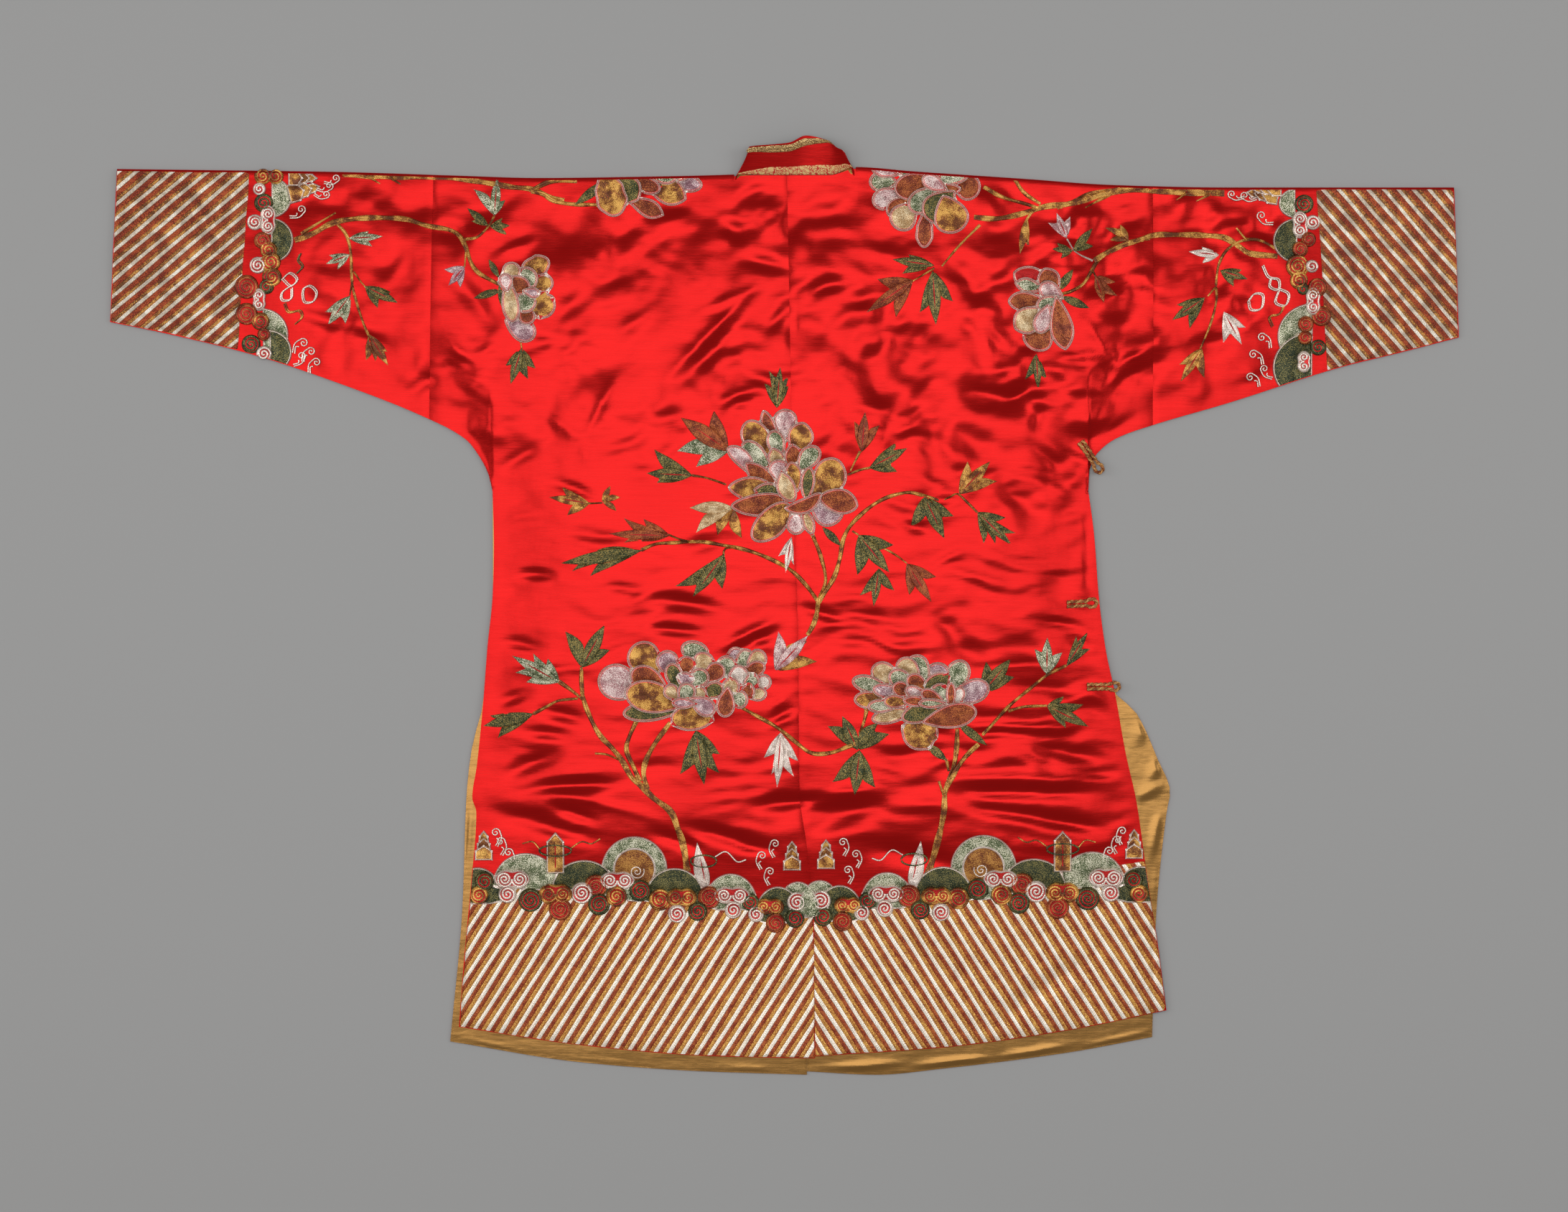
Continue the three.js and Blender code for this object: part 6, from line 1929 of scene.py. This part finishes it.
cuff_border(
    "right", arm_right,
    [(82, 28.5, 39, -6, "sage"), (82.5, 39, 55, -8.5, "pine"), (88, 69, 92, -12.5, "sage"),
     (88, 79, 104, -14, "pine")],
    [(85, 34, 9.5, 9.5, "pine"), (88, 40.5, 7.5, 7.5, "silver"), (83.5, 41.3, 9, 14, "silver"),
     (86.5, 46.5, 7.5, 7.5, "copper"),
     (83.5, 50, 8, 8, "copper"), (82.5, 56, 11.5, 11.5, "gold"), (87.6, 56, 6.5, 6.5, "silver"),
     (83, 61, 9, 9, "gold"),
     (84.5, 64, 6, 6, "pine"), (89.5, 63.5, 9.5, 9.5, "copper"), (91, 73.5, 10, 10, "copper"),
     (88, 68.3, 8.5, 14, "silver"),
     (85.5, 76.3, 8, 8, "copper"), (85.3, 81, 7, 7, "copper"), (90, 84.5, 8, 8, "pine"), (85, 89.5, 8, 11, "silver")],
    [(72.5, 31, 8.5, 10, 82), (74, 29, 7, 9, 90)],
    [(59.5, 30.5, 4.0, -1, 80), (64, 31, 4.0, -1, 80), (70, 38, 4.6, -1, 60), (70, 81, 4.4, 1, 35),
     (67, 87, 4.4, 1, 40),
     (66, 95, 4.2, 1, 40), (71, 92, 4.0, -1, 45)],
    [([(70, 56), (72, 60), (75.5, 61), (75.5, 64.5), (72.5, 63.5), (72.8, 60.5)], "silver"),
     ([(75, 64), (79, 66), (78, 70), (74.5, 69), (75.5, 65)], "silver"),
     ([(65, 68.5), (67, 66), (70, 66.5), (69.5, 71), (66, 71.5), (65, 68.5)], "silver"),
     ([(77.5, 70), (76, 73), (72.5, 74), (73.5, 77.5)], "gold")])

# %% [markdown]
# ## Collar trims
#
# A herringbone braid runs below the collar's edge, and a bias strip of brocade covers the neck seam.

# %% Collar trims
def brocade(name):
    """Gold weave with scrolls outlined in red."""
    material, nodes, links, shader = new_material(name)
    place = nodes.new("ShaderNodeTexCoord").outputs["Object"]

    def contour(value, level):
        node = nodes.new("ShaderNodeMath")
        node.operation = "COMPARE"
        node.inputs[1].default_value = level
        node.inputs[2].default_value = 0.034
        links.new(value, node.inputs[0])
        return node.outputs[0]

    scroll, fine = (noise(nodes, links, place, scale, 1.0) for scale in (230, 1500))
    lines = calculator(nodes, links)("MAXIMUM", contour(scroll, 0.44), contour(scroll, 0.57))
    weave = blend(nodes, links, fine, (0.30, 0.17, 0.05), (0.86, 0.60, 0.26))
    figured = blend(nodes, links, lines, weave, (0.42, 0.02, 0.012))
    links.new(figured, shader.inputs["Base Color"])
    shader.inputs["Metallic"].default_value = 0.4
    shader.inputs["Roughness"].default_value = 0.45
    bump = nodes.new("ShaderNodeBump")
    bump.inputs["Distance"].default_value = 0.0002
    links.new(fine, bump.inputs["Height"])
    links.new(bump.outputs["Normal"], shader.inputs["Normal"])
    return material


braid_gold = thread("braid_gold", (0.95, 0.70, 0.32), (0.58, 0.35, 0.12), (0.14, 0.06, 0.02), (0.28, 0.12, 0.04),
                    pitch=1.5, patches=0.3, specks=1.1)
brocade_gold = brocade("brocade_gold")


TRIM_ROWS = 6


def collar_trim(name, lows, highs, material, end=1.0):
    """A strip on the collar's outer face along its back run, between heights that may change along it."""
    along = np.linspace(-1, end, 120)
    bend = np.full(len(along), 90.0)
    across = np.linspace(0, 1, TRIM_ROWS + 1)

    def layer(out):
        grid = np.zeros((TRIM_ROWS + 1, len(along), 3))
        for column in range(len(along)):
            here = slice(column, column + 1)
            low, high = read(lows, along[column]), read(highs, along[column])
            ups = mix(low, high, across)
            grid[:, here] = collar_grid(ups, 0, along[here], bend[here])
        grid[..., 2] += out
        return grid

    top = layer(SEAM + TRIM)
    top[1:-1, :, 2] += 0.25
    piece = wall(name, top, layer(SEAM), [material, material])
    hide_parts(name.replace("trim_", ""))
    # The thread's rows slant to the strip's middle from both sides, as in a herringbone.
    foot = top[0]
    spots = np.array([v.co for v in piece.data.vertices]) / MM
    up = spots[:, 1] - np.interp(spots[:, 0], foot[:, 0], foot[:, 1])
    slant = spots[:, 0] + 0.9 * np.abs(up - up.max() / 2)
    lay_thread(piece.data, np.column_stack([up, slant]), by_point=True)
    print(piece.name, len(piece.data.polygons))
    return top


collar_braid = collar_trim(
    "trim_collar_braid",
    [(-1, 0.79), (-0.75, 0.78), (-0.39, 0.73), (0.07, 0.72), (0.26, 0.76), (0.44, 0.84), (0.63, 0.93), (0.74, 0.97)],
    [(-1, 0.94), (-0.75, 0.95), (-0.39, 0.95), (0.07, 0.92), (0.26, 0.93), (0.44, 0.97), (0.63, 0.99), (0.74, 0.98)],
    braid_gold, end=0.74)
collar_trim("trim_neck_binding", [(-1, 0.0), (1, 0.0)],
            [(-1, 0.05), (-0.75, 0.15), (-0.39, 0.25), (0.17, 0.235), (0.63, 0.28), (0.9, 0.27), (1, 0.16)],
            brocade_gold)

# %% [markdown]
# The braid's plaits are what repeats along a path, so geometry nodes lay them: a pair of slanted bars at every step
# along the braid's middle line, each pair narrowed where the braid is.

# %% Plaits
plait_sizes = {"Pitch": 1.25 * MM, "Long": 4.2 * MM, "Wide": 1.15 * MM, "High": 1.0 * MM,
               "Slant": math.radians(55)}
FULL_REACH = 3.3  # half the braid's width where a pair has its full size


def plait_tree():
    """Pairs of slanted bars along a path whose points hold the width there as a share of the full one."""
    tree = bpy.data.node_groups.new("herringbone", "GeometryNodeTree")
    face = tree.interface
    face.new_socket("Geometry", in_out="INPUT", socket_type="NodeSocketGeometry")
    for title, value in plait_sizes.items():
        face.new_socket(title, in_out="INPUT", socket_type="NodeSocketFloat").default_value = value
    face.new_socket("Material", in_out="INPUT", socket_type="NodeSocketMaterial")
    face.new_socket("Geometry", in_out="OUTPUT", socket_type="NodeSocketGeometry")
    nodes, links = tree.nodes, tree.links
    maths = calculator(nodes, links)
    given = nodes.new("NodeGroupInput").outputs

    def combine(x, y, z):
        node = nodes.new("ShaderNodeCombineXYZ")
        for socket, value in zip(node.inputs, (x, y, z)):
            if isinstance(value, (int, float)):
                socket.default_value = value
            else:
                links.new(value, socket)
        return node.outputs[0]

    ball = nodes.new("GeometryNodeMeshUVSphere")
    ball.inputs["Segments"].default_value = 8
    ball.inputs["Rings"].default_value = 5
    ball.inputs["Radius"].default_value = 0.5
    pair = nodes.new("GeometryNodeJoinGeometry")
    for way in (1, -1):
        bar = nodes.new("GeometryNodeTransform")
        links.new(ball.outputs["Mesh"], bar.inputs["Geometry"])
        links.new(combine(given["Long"], given["Wide"], given["High"]), bar.inputs["Scale"])
        links.new(combine(0, 0, maths("MULTIPLY", given["Slant"], way)), bar.inputs["Rotation"])
        out = maths("MULTIPLY", maths("MULTIPLY", given["Long"], 0.46), maths("SINE", given["Slant"]))
        links.new(combine(0, maths("MULTIPLY", out, way), 0), bar.inputs["Translation"])
        links.new(bar.outputs["Geometry"], pair.inputs["Geometry"])
    curve = nodes.new("GeometryNodeMeshToCurve")
    links.new(given["Geometry"], curve.inputs["Mesh"])
    steps = nodes.new("GeometryNodeResampleCurve")
    steps.mode = "LENGTH"
    links.new(curve.outputs["Curve"], steps.inputs["Curve"])
    links.new(given["Pitch"], steps.inputs["Length"])
    aim = nodes.new("FunctionNodeAlignRotationToVector")
    aim.axis = "X"
    links.new(nodes.new("GeometryNodeInputTangent").outputs["Tangent"], aim.inputs["Vector"])
    narrow = nodes.new("GeometryNodeInputNamedAttribute")
    narrow.data_type = "FLOAT"
    narrow.inputs["Name"].default_value = "share"
    place = nodes.new("GeometryNodeInstanceOnPoints")
    links.new(steps.outputs["Curve"], place.inputs["Points"])
    links.new(pair.outputs["Geometry"], place.inputs["Instance"])
    links.new(aim.outputs["Rotation"], place.inputs["Rotation"])
    links.new(combine(1, narrow.outputs["Attribute"], 1), place.inputs["Scale"])
    real = nodes.new("GeometryNodeRealizeInstances")
    links.new(place.outputs["Instances"], real.inputs["Geometry"])
    dressed = nodes.new("GeometryNodeSetMaterial")
    links.new(real.outputs["Geometry"], dressed.inputs["Geometry"])
    links.new(given["Material"], dressed.inputs["Material"])
    links.new(dressed.outputs["Geometry"], nodes.new("NodeGroupOutput").inputs["Geometry"])
    return tree


def plaits(name, strip, tree):
    """The bars on a strip given as rows of points across it."""
    middle = (strip[0] + strip[-1]) / 2
    middle[:, 2] = strip[1:-1, :, 2].mean(axis=0)
    half = np.linalg.norm(strip[-1] - strip[0], axis=1) / 2
    mesh = bpy.data.meshes.new(f"{name}_path")
    middle, half = middle[2:-1], half[2:-1]
    mesh.from_pydata((middle * MM).tolist(), [(i, i + 1) for i in range(len(middle) - 1)], [])
    share = mesh.attributes.new("share", "FLOAT", "POINT")
    share.data.foreach_set("value", (half / FULL_REACH).astype(np.float32))
    path = bpy.data.objects.new(f"{name}_path", mesh)
    bpy.context.collection.objects.link(path)
    modifier = path.modifiers.new("herringbone", "NODES")
    modifier.node_group = tree
    values = {**plait_sizes, "Material": braid_gold}
    for socket in tree.interface.items_tree:
        if socket.in_out == "INPUT" and socket.name in values:
            modifier[socket.identifier] = values[socket.name]
    bpy.context.view_layer.update()
    laid = bpy.data.meshes.new_from_object(path.evaluated_get(bpy.context.evaluated_depsgraph_get()))
    bpy.data.objects.remove(path)
    piece = bpy.data.objects.new(name, laid)
    bpy.context.collection.objects.link(piece)
    spots = np.empty(len(laid.vertices) * 3, np.float32)
    laid.vertices.foreach_get("co", spots)
    for old in list(laid.uv_layers):
        laid.uv_layers.remove(old)
    lay_thread(laid, spots.reshape(-1, 3)[:, [1, 0]] / MM, by_point=True)
    laid.polygons.foreach_set("use_smooth", np.ones(len(laid.polygons), bool))
    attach(piece, "root")
    print(name, len(laid.polygons), "faces")


plaits("braid_plaits", collar_braid, plait_tree())

# %% [markdown]
# ## Corded loops
#
# Each loop is one doubled rope of two twisted strands, sewn down near its ends.

# %% Loops
CORD = 4.1
EYE_LONG, EYE_WIDE = 14.5, 12
LOOP_CLEAR = 0.5
RING, LOOP_STEP = 8, 0.8  # points round a strand, and the distance between its rings
STRAND, LAY = 1.15, 9.0  # radius of one of the two strands, and the length of one of its turns
cord_threads = [
    thread("cord_gold", (0.98, 0.66, 0.27), (0.70, 0.38, 0.11), (0.26, 0.09, 0.03), RUST, pitch=0.55, patches=0.3,
           metallic=0.35),
    thread("cord_brown", (0.72, 0.36, 0.12), (0.42, 0.16, 0.045), (0.16, 0.040, 0.014), RUST, pitch=0.55, patches=0.5,
           metallic=0.35),
]


def crossways(path):
    """Unit vectors along a path, and level ones square to it."""
    way = np.gradient(path, axis=0)
    way /= np.linalg.norm(way, axis=1)[:, None]
    side = np.cross(way, (0, 0, 1.0))
    return way, side


def tube(path, radius):
    """Rings of points round a path, and their faces; the ends are closed."""
    sides = RING
    way, flat = crossways(path)
    flat /= np.linalg.norm(flat, axis=1)[:, None]
    up = np.cross(flat, way)
    angle = np.linspace(0, 2 * np.pi, sides, endpoint=False)
    rings = path[:, None] + radius * (np.cos(angle)[None, :, None] * flat[:, None]
                                      + np.sin(angle)[None, :, None] * up[:, None])
    n = len(path)
    i, j = np.meshgrid(np.arange(n - 1), np.arange(sides), indexing="ij")
    k = (j + 1) % sides
    faces = np.stack([i * sides + j, i * sides + k, (i + 1) * sides + k, (i + 1) * sides + j], -1).reshape(-1, 4)
    ends = [list(range(sides)), list(range((n - 1) * sides, n * sides))[::-1]]
    return rings.reshape(-1, 3), [list(f) for f in faces] + ends


def corded_loop(name, start, tip, tip_rise):
    start, tip = np.array(start, float), np.array(tip, float)
    length = np.hypot(*(tip - start))
    along = (tip - start) / length
    across = np.array([-along[1], along[0]])
    close, half, long = (CORD + 0.25) / 2, (EYE_WIDE - CORD) / 2, (EYE_LONG - CORD) / 2
    eye = length - CORD / 2 - long
    route = [(0, close), ((eye - long) / 2, close), (eye - long, close + 0.1), (eye - 0.45 * long, 0.9 * half),
             (eye + 0.3 * long, half), (eye + 0.82 * long, 0.6 * half), (eye + long, 0)]
    route += [(s, -a) for s, a in route[-2::-1]]
    flat = smooth_path([start + s * along + a * across for s, a in route], LOOP_STEP)
    rise = np.maximum(surface(flat[:, 0], flat[:, 1]) + LOOP_CLEAR, tip_rise) + CORD / 2
    rise = np.convolve(np.pad(rise, 6, mode="edge"), np.ones(13) / 13, "valid")
    path = np.column_stack([flat, rise])
    way, side = crossways(path)
    up = np.cross(side, way)
    run = np.arange(len(path)) * LOOP_STEP
    points, faces, kinds, marks = [], [], [], []
    for k in range(2):
        turn = 2 * np.pi * run / LAY + k * np.pi
        strand = path + (CORD / 2 - STRAND) * (np.cos(turn)[:, None] * side + np.sin(turn)[:, None] * up)
        rings, quads = tube(strand, STRAND)
        faces += [[len(points) + v for v in f] for f in quads]
        points.extend(rings)
        kinds += [k] * len(quads)
        marks.append(np.column_stack([np.repeat(run, RING), np.tile(np.arange(RING) * 0.7, len(run))]))
    piece = new_piece(f"cord_{name}", points, faces, cord_threads, kinds)
    lay_thread(piece.data, np.concatenate(marks), by_point=True)
    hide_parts(name)
    print(piece.name, len(faces))


corded_loop("loop_underarm", (297.5, 164.5), (319, 132.5), 4.6)
corded_loop("loop_waist", (284, 1.7), (315.5, 3.4), 4.9)
corded_loop("loop_hip", (304, -80.8), (338.2, -80.6), 4.9)

# %% Floor
bpy.ops.mesh.primitive_plane_add(size=12, location=(0, 0, -0.0006))
floor = bpy.context.object
floor.name = "floor"
paper, nodes, links, shader = new_material("floor_paper")
grain = nodes.new("ShaderNodeTexNoise")
grain.inputs["Scale"].default_value = 2.0
tone = blend(nodes, links, grain.outputs["Fac"], (0.352, 0.352, 0.352), (0.367, 0.367, 0.367))
links.new(tone, shader.inputs["Base Color"])
shader.inputs["Roughness"].default_value = 0.9
shader.inputs["Specular IOR Level"].default_value = 0.1
floor.data.materials.append(paper)
